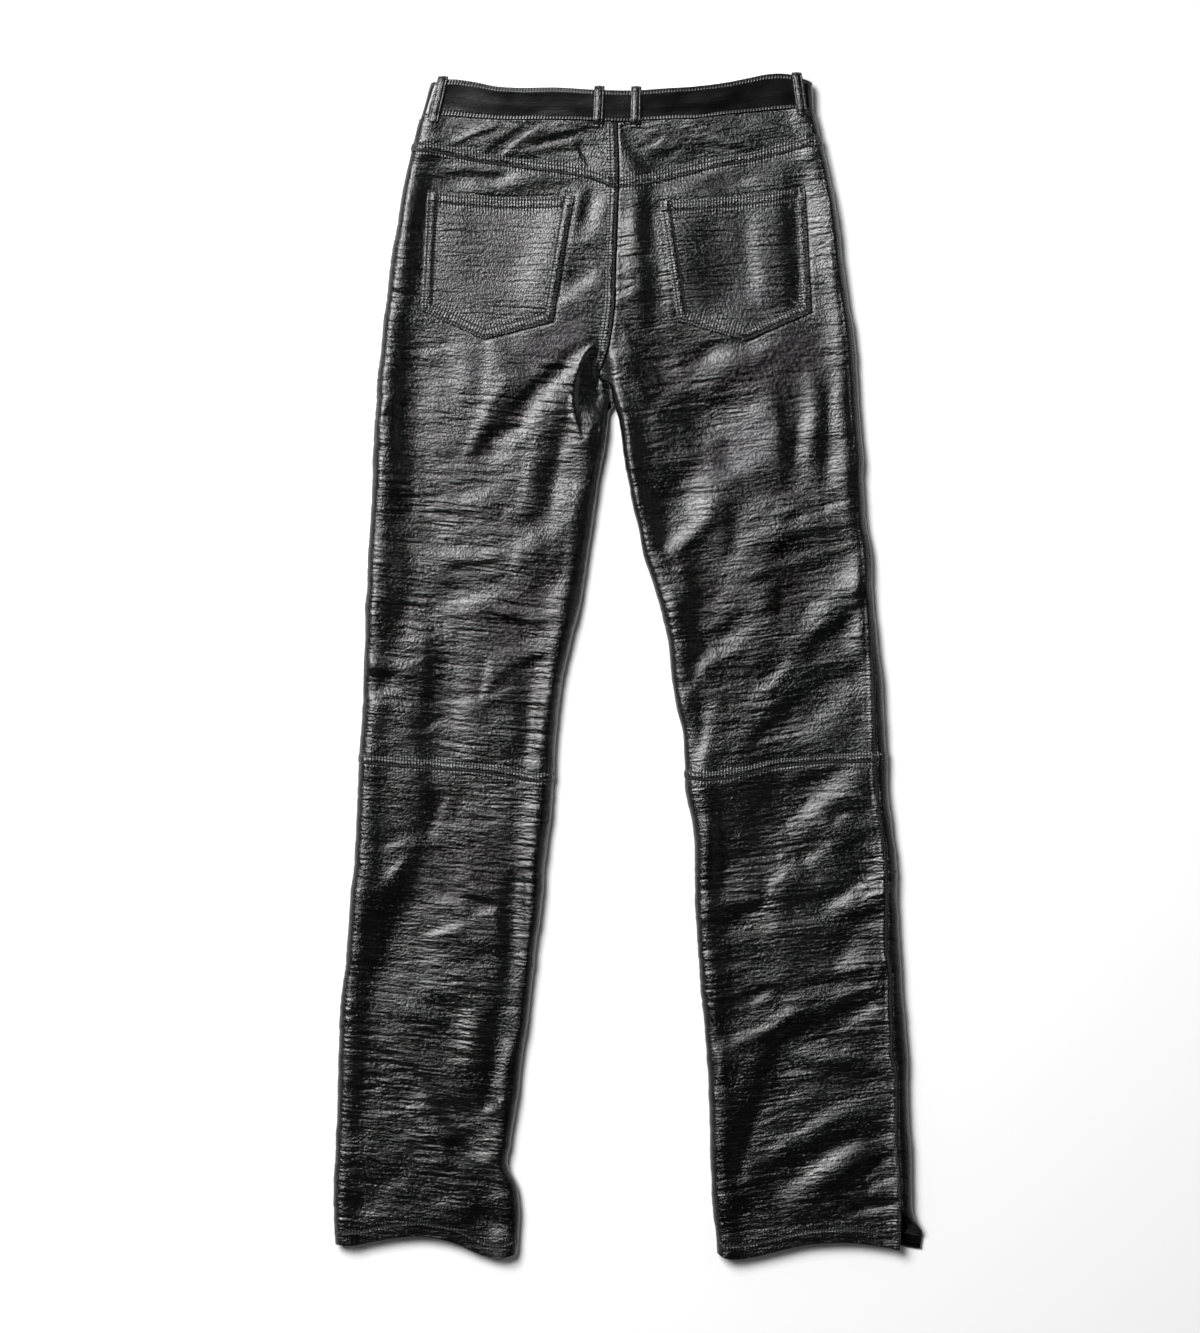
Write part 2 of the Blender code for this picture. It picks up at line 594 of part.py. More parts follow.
def band_points(side, face, place, down):
    """Points on the waistband's outer face, from how far along it they lie past the outline."""
    outline = HALVES[side].outer_x(down)
    turn = np.clip(place / quarter(BAND_ROLL_RADIUS), -1, 1) * math.pi / 2
    past = np.maximum(np.abs(place) - quarter(BAND_ROLL_RADIUS), 0)
    x = outline - HALVES[side].side * (BAND_ROLL_RADIUS * (1 - np.cos(turn)) + past)
    height = FRONT_BAND_LIFT + (BAND_HEIGHT - FRONT_BAND_LIFT) * (1 + face * np.sin(turn)) / 2
    if side == "right" and face < 0:
        over = ease((BAND_STEP_FROM - x) / BAND_STEP_LENGTH)
        height = height + over * (BAND_THICKNESS + SEAM_GAP)
    return np.stack([x, down + 0 * x, height], axis=-1)


def band_quarter(side, face, past_centre, flat, outwards):
    """A quarter of the waistband's ring: outer points and normals, from its side to the centre."""
    top, bottom = band_seams(face)
    sign = HALVES[side].side
    rolled = np.append(np.linspace(0, 1, 4) * quarter(BAND_ROLL_RADIUS), BAND_NEAR_ROLL)
    shares = np.linspace(0, 1, 4)[:, None]
    x = sign * np.linspace(190, 0, len(rolled) + flat)[None, :] * MM + 0 * shares
    for _ in range(5):
        down = top(x) + (bottom(x) - SEAM_GAP / 2 - top(x)) * shares
        reach = np.abs(HALVES[side].outer_x(down[:, -1:])) - BAND_ROLL_RADIUS + past_centre
        reach = reach - (rolled[-1] - quarter(BAND_ROLL_RADIUS))
        flats = rolled[-1] + reach * np.linspace(0, 1, flat + 1)[1:]
        place = np.concatenate([rolled + 0 * shares, flats], axis=1)
        points = band_points(side, face, place, down)
        x = points[..., 0]
    across = band_points(side, face, place + PROBE, down) - band_points(side, face, place - PROBE, down)
    along = band_points(side, face, place, down + PROBE) - band_points(side, face, place, down - PROBE)
    out = -sign * face * unit_normals(across, along)
    return (points, out) if outwards else (points[:, ::-1], out[:, ::-1])


def waistband(finish):
    """One strip all the way round, whose left end laps under its right end at the centre front."""
    quarters = [
        band_quarter("left", -1, BAND_PAST_CENTRE, 6, False),
        band_quarter("left", 1, 0, 8, True),
        band_quarter("right", 1, 0, 8, False),
        band_quarter("right", -1, BAND_PAST_CENTRE, 8, True),
    ]
    points = [quarters[0][0]] + [q[0][:, 1:] for q in quarters[1:]]
    out = [quarters[0][1]] + [q[1][:, 1:] for q in quarters[1:]]
    points, out = np.concatenate(points, axis=1), np.concatenate(out, axis=1)
    wall("waistband", points, points - out * BAND_THICKNESS, finish)


def belt_loop(name, face, x_top, x_foot, finish):
    """A belt loop: its foot is sewn below the waistband, and its head folds over the band's top."""
    half = HALVES["left" if x_top < 0 else "right"]
    top, bottom = band_seams(face)
    head, foot = top(x_top), bottom(x_foot)
    band = BAND_HEIGHT if face > 0 else -FRONT_BAND_LIFT
    low = foot + LOOP_FOOT
    x_low = x_top + (x_foot - x_top) * (low - head) / (foot - head)
    sewn = (half.skin(x_low, low) if face > 0 else -half.ground(x_low, low)) + LOOP_SEAT
    over, under = band + BELT_GAP, band - BAND_THICKNESS - TAIL_SEAT
    # the loop's inner face, from its foot over the band to its tail: down, height
    path = np.array([
        (low + 2 * MM, sewn), (low - 1 * MM, sewn), (foot + 0.5 * MM, over), (foot - 9 * MM, over),
        (head + 9 * MM, over), (head - 0.5 * MM, over - 0.3 * MM), (head - 2.4 * MM, over - 1.6 * MM),
        (head - LOOP_CLEAR, band - BAND_THICKNESS / 2), (head - 2.2 * MM, under + 0.5 * MM),
        (head - 0.3 * MM, under), (head + LOOP_TAIL, under),
    ])
    step = np.gradient(path, axis=0)
    out = np.stack([-step[:, 1], step[:, 0]], axis=-1)
    out *= -1 / np.linalg.norm(out, axis=-1, keepdims=True)
    grids = []
    for line in (path + out * LOOP_THICKNESS, path):
        x = x_top + (x_foot - x_top) * (line[:, 0] - head) / (foot - head)
        edges = [np.stack([x + side * LOOP_WIDTH / 2, line[:, 0], face * line[:, 1]], axis=-1)
                 for side in (-1, 1)]
        grids.append(np.stack(edges, axis=1))
    wall(name, grids[0], grids[1], finish)


def patch_pocket(name, half, corners, finish):
    """A five-sided pocket on the back panel, thicker round its edge where the hide is turned under.
    corners are its top outer and inner, bottom outer and inner, tip, and the sag of its mouth."""
    top_out, top_in, low_in, tip, low_out, sag = corners
    inset = np.array([0, POCKET_HEM, POCKET_HEM + LAP_STEP])
    across = np.linalg.norm(top_in - top_out)
    u = np.concatenate([inset / across, [0.3, 0.5, 0.7], 1 - inset[::-1] / across])
    tall = low_out[1] - top_out[1]
    v = np.concatenate([inset / tall, [0.35, 0.6], 1 - inset[::-1] / tall])[:, None]
    tip_at = (tip[0] - low_out[0]) / (low_in[0] - low_out[0])
    bent = np.where(u < 0.5, u * tip_at / 0.5, tip_at + (u - 0.5) * (1 - tip_at) / 0.5)
    along = np.where(v < 0.5, u, u + (bent - u) * (v - 0.5) / 0.5)
    upper = top_out + (top_in - top_out) * along[..., None]
    upper[..., 1] += sag * 4 * along * (1 - along)
    lower = low_out + (low_in - low_out) * along[..., None]
    fall = np.minimum(along / tip_at, (1 - along) / (1 - tip_at))
    straight = low_out[1] + (low_in[1] - low_out[1]) * tip_at
    lower[..., 1] += (tip[1] - straight) * fall
    flat = upper + (lower - upper) * v[..., None]
    x, down = flat[..., 0], flat[..., 1]
    around = [(a * POCKET_BRIDGES, b * POCKET_BRIDGES) for a in range(-2, 3) for b in range(-2, 3)]
    seat = np.max([half.skin(x + a, down + b) for a, b in around], axis=0) + SEAM_GAP
    rise = np.full(seat.shape, LEATHER)
    border = np.ones(seat.shape, bool)
    border[2:-2, 2:-2] = False
    rise[border] += LAP_RISE
    outer, inner = (np.stack([x, down, seat + lift], axis=-1) for lift in (rise, 0 * rise))
    wall(name, outer, inner, finish)


def fly(finish, brass):
    """The zip behind the centre front seam, and the underlap behind the zip."""
    centre = seam({"x": CENTRE_FRONT["down"], "down": CENTRE_FRONT["x"]})
    top = FRONT_BAND_BOTTOM["down"].max() + 1 * MM
    layers = {
        "fly_zip": (ZIP_WIDTH, FLY_LENGTH, ZIP_THICKNESS, brass),
        "fly_underlap": (UNDERLAP_WIDTH, FLY_LENGTH + 8 * MM, LEATHER, finish),
    }
    above = LEATHER + SEAM_GAP
    for name, (width, length, thickness, stuff) in layers.items():
        down = top + np.linspace(0, 1, 7)[:, None] * length
        x = centre(down) + np.linspace(-0.5, 0.5, 4) * width
        low = HALVES["right"].ground(x, down) + above
        outer, inner = (np.stack([x, down + 0 * x, low + lift], axis=-1) for lift in (thickness, 0))
        wall(name, outer, inner, stuff)
        above += thickness + SEAM_GAP


def waist_button(brass):
    """A button turned from brass, its shank against the waistband's outer face."""
    under_band = FRONT_BAND_LIFT - SEAM_GAP
    profile = (
        (0.0, under_band), (2.2 * MM, under_band), (2.2 * MM, under_band - 1.1 * MM),
        (BUTTON_RADIUS - 1 * MM, under_band - 1.1 * MM), (BUTTON_RADIUS, under_band - 1.9 * MM),
        (BUTTON_RADIUS - 1.2 * MM, under_band - 2.7 * MM), (0.0, under_band - 3.0 * MM),
    )
    made = bpy.data.meshes.new("waist_button")
    made.from_pydata([(radius, 0, height) for radius, height in profile], [(i, i + 1) for i in range(6)], [])
    made.materials.append(brass)
    button = bpy.data.objects.new("waist_button", made)
    button.location = placed(np.array([2 * MM, 38 * MM, 0]))
    bpy.data.collections[COLLECTION].objects.link(button)
    turned = button.modifiers.new("Turned", "SCREW")
    turned.steps = turned.render_steps = 20
    turned.use_merge_vertices = True
    turned.merge_threshold = 0.00005


def main():
    for old in list(bpy.data.objects):
        bpy.data.objects.remove(old, do_unlink=True)
    bpy.context.scene.collection.children.link(bpy.data.collections.new(COLLECTION))
    hide = material("black_cowhide", (0.012, 0.012, 0.012), 0.32)
    brass = material("dark_brass", (0.12, 0.1, 0.07), 0.35, 1.0)
    for name, half in HALVES.items():
        half_garment(name, half, hide)
        patch_pocket("back_pocket_" + name, half, POCKETS[name], hide)
    waistband(hide)
    for name, (face, x_top, x_foot) in BELT_LOOPS.items():
        belt_loop("belt_loop_" + name, face, x_top * MM, x_foot * MM, hide)
    fly(hide, brass)
    waist_button(brass)


main()
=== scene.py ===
"""Leather trousers laid out flat with their back up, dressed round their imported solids.

The garment is one drape: each leg is a leather tube pressed flat, the front on the floor and the back
over it, and the hide rolls from one to the other at the outline. Every panel of hide is a fine grid on
that drape, raised along its normal by its own creases, lapped seams and stitch grooves. Metres, +Z up.
"""

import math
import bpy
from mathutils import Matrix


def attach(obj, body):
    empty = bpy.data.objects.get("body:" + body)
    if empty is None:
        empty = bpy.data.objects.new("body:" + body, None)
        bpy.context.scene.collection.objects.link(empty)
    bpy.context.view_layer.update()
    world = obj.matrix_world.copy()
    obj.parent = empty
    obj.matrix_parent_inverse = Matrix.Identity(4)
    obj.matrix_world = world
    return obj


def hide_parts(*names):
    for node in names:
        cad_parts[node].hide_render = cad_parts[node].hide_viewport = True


bl_info = {
    "name": "Leather trousers",
    "version": (1, 0, 0),
    "blender": (4, 5, 0),
    "location": "View3D > Sidebar > Trousers",
    "description": "Glossy black leather trousers laid out flat, with their seams, stitches and creases",
    "category": "Add Mesh",
}

import bpy
import numpy as np

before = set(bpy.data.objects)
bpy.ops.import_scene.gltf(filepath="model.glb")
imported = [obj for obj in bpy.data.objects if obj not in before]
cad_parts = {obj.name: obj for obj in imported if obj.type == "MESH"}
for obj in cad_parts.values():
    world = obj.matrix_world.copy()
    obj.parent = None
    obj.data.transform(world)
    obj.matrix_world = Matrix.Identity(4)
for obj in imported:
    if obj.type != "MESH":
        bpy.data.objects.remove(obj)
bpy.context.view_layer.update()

MM = 0.001
BODY = "root"

# The garment's own sizes
LEATHER = 1.2 * MM
SEAM_GAP = 0.3 * MM
LAP_WIDTH = 8.0 * MM  # a lapped seam's raised strip, between its two rows of stitches
LAP_RISE = 0.85 * MM
LAP_SWELL = 0.35 * MM  # how much fuller a strip is along its middle
LAP_STEP = 0.8 * MM
LAP_ROWS = (1.5 * MM, 7.3 * MM)  # the two rows of stitches, from the lap's edge
SIDE_LAP_WIDTH = 7 * MM
SIDE_LAP_RISE = 0.35 * MM
SIDE_ROW = 2.4 * MM
TUCK_DEPTH = 0.35 * MM  # how far a panel dips where another laps over it
TUCK_WIDTH = 1.0 * MM
HEM_ROW = 13.5 * MM
HEM_SHORTER = 4 * MM  # how much higher the front's hem ends
VENT_TOP = 1117 * MM  # the slit at the foot of the right outer seam, where the front flares out
VENT_LENGTH = 45 * MM
VENT_FLARE = 16 * MM

# The waistband and its loops
BAND_WIDTH = 31 * MM
BAND_THICKNESS = 2.4 * MM
BAND_GIRTH = 70 * MM  # round its section
BAND_ROWS = (2.2 * MM, 28.4 * MM)
BAND_TILT = 2.2 * MM  # how much higher its top edge lies than its foot
BAND_PAST_CENTRE = 17 * MM  # each front end, which laps the other
BAND_STEP_FROM = 40 * MM  # where the upper end starts to rise over the lower one
BAND_STEP_LENGTH = 18 * MM
LOOP_ROW = 3.1 * MM  # its rows of stitches, from its middle
LOOP_ROW_HEIGHT = 1.62 * MM

# The pockets
POCKET_RISE = 1.7 * MM  # how high its face lies over the panel, and how much more its rims do
POCKET_RIM = 0.65 * MM
MOUTH_RIM = 0.45 * MM
POCKET_HEM = 9.3 * MM  # how wide the hide is double round its edge
POCKET_ROWS = (2.1 * MM, 9.0 * MM)
MOUTH_ROWS = (2.4 * MM, 9.8 * MM)
ROW_STARTS_AT = 0.015  # as a share of the pocket's side
TACK_WIDTH = 5 * MM  # the flat bar tacks at the two ends of the mouth, which tip a little
TACK_REACH = 9 * MM
TACK_TIP = 0.16
POCKET_TUCK = 0.45 * MM  # the dent that a pocket's edge leaves in the panel round it

# The fly
ZIP_WIDTH = 28 * MM
UNDERLAP_WIDTH = 38 * MM
FLY_TOP = 53 * MM
FLY_LENGTH = 150 * MM
UNDERLAP_LONGER = 8 * MM
ZIP_LIFT = 1.5 * MM  # how high the tape and the underlap lie over the front panel's inner face
UNDERLAP_LIFT = 3.4 * MM
TOOTH_PITCH = 1.6 * MM
TOOTH_OUT = 1.3 * MM  # how far each tooth's middle lies beside the zip's
TOOTH_SIZE = (3.2, 1.2, 0.9)  # millimetres

# Stitches, and what they do to the hide
STITCH_PITCH = 3.0 * MM
STITCH_LENGTH = 2.0 * MM
THREAD_RADIUS = 0.34 * MM
FINE_THREAD_RADIUS = 0.26 * MM
# a stitch along its length: place as a share of it, height and thickness as shares of the thread's radius
STITCH_SHAPE = ((-0.5, -0.9, 0.6), (-0.34, 0.25, 1.0), (0.0, 0.5, 1.1), (0.34, 0.25, 1.0), (0.5, -0.9, 0.6))
GROOVE_DEPTH = 0.26 * MM
GROOVE_WIDTH = 0.85 * MM
PUCKER_PITCH = 3.1 * MM
WIDE_PUCKER_PITCH = 6.5 * MM
PUCKER_DEPTH = 0.32 * MM
HOLE_WIDTH = 1.0 * MM
GATHER_WIDTH = 3.5 * MM
GATHER = 0.2  # how strongly the stitches draw the softest hide in between them
STITCH_RELIEF = 0.8 * MM
NO_STITCH = 1.0  # a distance that no stitch reaches
ROW_CLEAR = 0.8 * MM  # how far a row's two ends stay off a panel's edges
CENTRE_ROWS_RUN = (33, 276)  # where rows start and stop, down the garment in millimetres
SIDE_ROW_RUNS = (150, 1140)
# ribs of a yarn or a weave: how close they lie, how far they stray, how strongly they show, how high they are
THREAD_TWIST = (520.0, 1.0, 0.5, 0.1 * MM)
TAPE_RIBS = (400.0, 0.0, 0.6, 0.15 * MM)

# How it lies
GARMENT_MIDDLE_X = 11.4 * MM
GARMENT_MIDDLE_DOWN = 576.0 * MM
ROLL_RADIUS = 8.0 * MM  # the hide's roll from back to front at the leg's outline
LEAST_ROLL = 0.4 * MM
BAND_ROLL_RADIUS = 7.0 * MM
BAND_HEIGHT = 17.2 * MM
FRONT_BAND_LIFT = 3.8 * MM  # how far the front waistband keeps the front off the floor
LIFT_HOLDS_TO = 45 * MM
LIFT_FADES_AT = 120 * MM
LEAST_HEIGHT = 9.6 * MM  # the deepest that the back's folds go
SHOULDER_SWELL = 2.0 * MM  # the fuller stretch of a leg just inside its edges
SHOULDER_IN = 12 * MM
SHOULDER_WIDTH = 11 * MM
SHOULDER_GROWS_OVER = 60 * MM  # below the crotch, at the leg's inner edge
CROTCH_DOWN = 283 * MM
CROTCH_X = -18 * MM
CROTCH_HOLLOW = 10.0 * MM
HOLLOW_WIDTH = 11 * MM
HOLLOW_ABOVE = 26 * MM
HOLLOW_BELOW = 60 * MM
CROTCH_LIFT = 2.0 * MM  # how far the front rises off the floor there
CROTCH_REACH = 14 * MM
FRONT_CROTCH_DOWN = 312 * MM
LEG_PARTS_OVER = 12 * MM  # how far below the crotch the centre seam has become the leg's edge
INSEAM_FROM = CROTCH_DOWN - 2 * MM
INSEAM_OVER = 16 * MM
CENTRE_STRIP_TO = CROTCH_DOWN - 3 * MM
ARCH_DROP = 9.5 * MM  # the recess under the fold that arches round the crotch
ARCH_LIP = 1 * MM
ARCH_SIDE = 4 * MM  # how far in its steep side goes, and then its gentle one
ARCH_REACH = 26 * MM
ARCH_RIDGE = 1.3 * MM  # the fold's own ridge, outside the recess
ARCH_RIDGE_OUT = 2.5 * MM
ARCH_RIDGE_WIDTH = 3.2 * MM
ARCH_CLEAR_OF_SEAM = 7 * MM
ARCH_WIDENS_OVER = 10 * MM
ARCH_HOLDS_TO = 305 * MM
ARCH_FADES_OVER = 60 * MM
LEG_LEAN = 0.11  # creases run square to the legs, which lean apart

FOLD_STEEP = 1.2  # a fold's slope, for a rise of 1 over a width of 1
FOLD_REACH = 3.5  # how many widths away it has eased back
FOLD_SHARE = (0.58, 0.32)  # the folds are this full at least, and up to so much fuller in patches
FOLD_PATCH = 23 * MM

# How surfaces are worked out
PROBE = 0.1 * MM  # the step that a surface's slope is read over
WIDE_PROBE = 2 * MM
SETTLING_ROUNDS = 6  # down depends on x and x on down, so the two are worked out in turn
FIRST_GUESS_X = 120 * MM

# The grids' spacings
ROW = 1.0 * MM
EDGE_COLUMN = 1.35 * MM
MIDDLE_COLUMN = 2.3 * MM
EDGE_ZONE = 22 * MM
YOKE_GRID = (0.85 * MM, 1.2 * MM, 1.5 * MM)
FRONT_GRID = (2.0 * MM, 1.8 * MM, 6 * MM)
YOKE_LENGTH = 50 * MM
THIGH_LENGTH = 590 * MM
CALF_LENGTH = 475 * MM

# Where on the hide's pattern each kind of piece is cut
PANEL_CUT_AT = 0.2
LOOP_CUT_AT = (0.3, 0.2)
POCKET_CUT_AT = (0.5, 0.1)
BAND_CUT_AT = 0.9
FLY_CUT_AT = 0.4

# The stage, in metres
FLOOR_REACH = 6.0
FLOOR_GAP = 0.3 * MM
KEY_PLACE, KEY_SIZE = (-1.58, 1.58, 2.95), (2.08, 2.08)
FILL_PLACE, FILL_SIZE = (3.0, 0.6, 2.2), (1.0, 2.0)
WALLS_TO, CEILING_FROM = math.radians(20), math.radians(35)  # above the floor
LENS, SENSOR = 120, 36  # millimetres
VIEW_HEIGHT = 1.333
VIEW_MIDDLE = (-28.4 * MM, -0.5 * MM)
VIEW_LEVEL = 12 * MM


def table(names, *rows):
    """Rows of millimetres as named columns of metres. The column turn keeps its degrees."""
    found = {}
    for name, values in zip(names.split(), np.array(rows, float).T):
        found[name] = values if name == "turn" else values * MM
    return found


LEFT_OUTLINE = table(
    "down outer",
    (-10, -184), (30, -198), (70, -208), (110, -216), (160, -224), (210, -231), (250, -235.5),
    (310, -241), (360, -243), (410, -245), (460, -249), (510, -250.5), (560, -253), (610, -254.5),
    (660, -257.5), (710, -260), (760, -262), (810, -267), (860, -270), (910, -275.5),
    (960, -278), (1010, -279.5), (1060, -282), (1110, -283), (1160, -282),
)
LEFT_INNER = table(
    "down inner",
    (283, -18), (290, -14.5), (300, -10.5), (312, -7), (325, -8.5), (340, -10), (360, -12.5),
    (385, -17.5), (410, -21), (460, -28), (510, -36), (560, -48), (610, -58), (660, -61.5),
    (710, -64.5), (760, -70), (810, -75), (860, -81), (910, -86.5), (960, -93), (1010, -99.5),
    (1055, -107), (1076, -109.5), (1095, -101), (1115, -97), (1145, -97.5), (1170, -101),
)
RIGHT_OUTLINE = table(
    "down outer",
    (-10, 194), (25, 198.5), (50, 204.5), (90, 214), (130, 221), (170, 226.5), (210, 232),
    (250, 237.5), (310, 242.5), (360, 246), (410, 248), (435, 250), (453, 253.5), (500, 256.5),
    (550, 260), (580, 264.5), (620, 267), (660, 270), (710, 272.5), (760, 278.5), (810, 281),
    (860, 283.5), (910, 286.5), (960, 291), (1010, 292), (1060, 294), (1110, 295.5), (1165, 296),
)
RIGHT_INNER = table(
    "down inner",
    (283, -17.4), (290, -9), (300, -5), (312, -2.5), (336, 3), (368, 7), (399, 12.6), (432, 20),
    (470, 28), (499, 37.5), (524, 45), (550, 51), (592, 55.4), (616, 59.6), (641, 65.4),
    (675, 67.5), (700, 69), (741, 76), (766, 78), (810, 78), (854, 81.3), (886, 83.7),
    (940, 87.5), (1010, 92), (1060, 93.5), (1110, 95), (1160, 100),
)
CENTRE_BACK = table(
    "down x",
    (0, 0), (33, 0.5), (88, 1.6), (141, -0.2), (187, -1.7), (218, -2.5), (241, -5.5), (260, -9.3),
    (283, -18),
)
CENTRE_FRONT = table(
    "down x",
    (0, 2), (150, 2), (200, 1), (240, -3), (270, -9), (283, -10), (300, -4), (312, -2),
)
# The fold that arches round the crotch: its left side, then its top
ARCH_LEFT = table(
    "down x",
    (255, -26), (265, -31.5), (278, -38), (296, -42), (310, -42.5), (327, -40), (350, -36),
    (380, -30), (410, -25),
)
ARCH_TOP = table(
    "x down",
    (-46, 320), (-42, 296), (-38, 278), (-31.5, 265), (-21, 260.5), (-14, 263.5), (0, 276),
)
# How far in from the outline each outer leg seam lies, on the back where it is above 0
LEFT_OUTSEAM = table("down inset", (0, -2), (1060, -2), (1117, -2), (1165, 1))
RIGHT_OUTSEAM = table(
    "down inset",
    (0, 1), (200, 2), (310, 3), (410, 2), (453, 3), (550, 4), (580, 7), (620, 8.5), (675, 10.5),
    (710, 10), (760, 9), (810, 9.5), (860, 12), (886, 9.5), (910, 11), (941, 13), (965, 14.5),
    (981, 11), (1010, 10.5), (1059, 13), (1095, 10.5), (1117, 11), (1165, 13),
)
# The same for each inner leg seam, from the inner outline
LEFT_INSEAM = table("down inset", (283, 3), (340, 3), (385, 1.5), (430, -1.5), (1170, -1.5))
RIGHT_INSEAM = table("down inset", (283, -2), (1170, -2))
BAND_TOP = table(
    "x down",
    (-187, -6), (-168, -9.6), (-146, -7.6), (-120, -2.5), (-105, -1.4), (-57, -1.4), (-24, 0.6),
    (26, 1), (45, -0.4), (83, -3), (109, -6.5), (132, -11), (149, -14.5), (173, -14.5), (194, -7),
)
BAND_BOTTOM = table(
    "x down",
    (-198, 29), (-176, 26.6), (-156, 27.7), (-135, 29.2), (-115, 30.2), (-57, 30.2), (-12, 31.7),
    (12, 32.2), (26, 31.2), (56, 29.7), (83, 28.7), (97, 26.8), (132, 23.4), (166, 20.2),
    (178, 19.2), (199, 23),
)
FRONT_BAND_TOP = table("x down", (-187, -6), (-180, -7), (0, 20), (187, -9.7), (194, -7))
FRONT_BAND_BOTTOM = table("x down", (-198, 29), (-190, 28.1), (0, 52), (191, 21.5), (199, 23))
YOKE_SEAM = table(
    "x down",
    (-208, 61), (-176, 64.4), (-146, 71), (-115, 75.6), (-84, 79.7), (-57, 83.3), (-26, 89.4),
    (0, 98), (25, 94.5), (45, 91.2), (63, 86.5), (97, 78), (132, 72.4), (166, 63.6), (195, 56.5),
    (208, 55),
)
LEFT_KNEE_SEAM = table(
    "x down",
    (-259, 672.7), (-221, 676.9), (-171, 680.2), (-138, 682.7), (-105, 688.5), (-80, 691.8),
    (-62, 691), (0, 690),
)
RIGHT_KNEE_SEAM = table(
    "x down",
    (0, 690), (68, 688.5), (84, 690.5), (126, 686), (159, 678.5), (209, 673.5), (259, 671.5),
    (271, 669.5),
)
LEFT_HEM = table(
    "x down",
    (-282, 1155), (-262, 1155.6), (-245, 1152), (-219, 1147.8), (-200, 1146.6), (-176, 1149.5),
    (-159, 1154.7), (-142, 1162.5), (-120, 1168.6), (-101, 1165),
)
RIGHT_HEM = table(
    "x down",
    (97, 1161), (105, 1167), (118, 1169.6), (135, 1167.6), (160, 1161.6), (186, 1155.6),
    (212, 1153.3), (238, 1153.5), (264, 1157), (300, 1164),
)
LEVEL = table(
    "down height",
    (0, 15.2), (120, 15.0), (250, 14.6), (330, 14.4), (600, 14.0), (900, 13.6), (1165, 13.0),
)

# face (1 on the back, -1 on the front), x at the top of the waistband, x at its foot
BELT_LOOPS = {
    "side_left": (1, -174.4, -182.4),
    "centre_left": (1, -17.6, -19.0),
    "centre_right": (1, 19.2, 18.4),
    "side_right": (1, 179.9, 184.3),
    "front_left": (-1, -100, -104),
    "front_right": (-1, 100, 104),
}
# A belt loop's section, over its outer face and back along its inner one
LOOP_SECTION = table(
    "across height",
    (-5.25, 0.5), (-5.1, 1.2), (-4.6, 1.6), (-3.6, 1.75), (-3.1, 1.45), (-2.6, 1.8), (-1.2, 1.95), (0, 2.0),
    (1.2, 1.95), (2.6, 1.8), (3.1, 1.45), (3.6, 1.75), (4.6, 1.6), (5.1, 1.2), (5.25, 0.5),
    (5.0, 0.05), (2.5, 0), (-2.5, 0), (-5.0, 0.05),
)
# corners as (x, down): top outer, top inner, bottom inner, tip, bottom outer; then the mouth's sag
POCKETS = {
    "left": ((-189, 101), (-43, 106), (-64, 231.8), (-132.8, 249.6), (-195.3, 220.3), 4.0),
    "right": ((187.3, 97.6), (43, 112), (61, 230.8), (129.2, 251), (194, 222.4), 2.0),
}

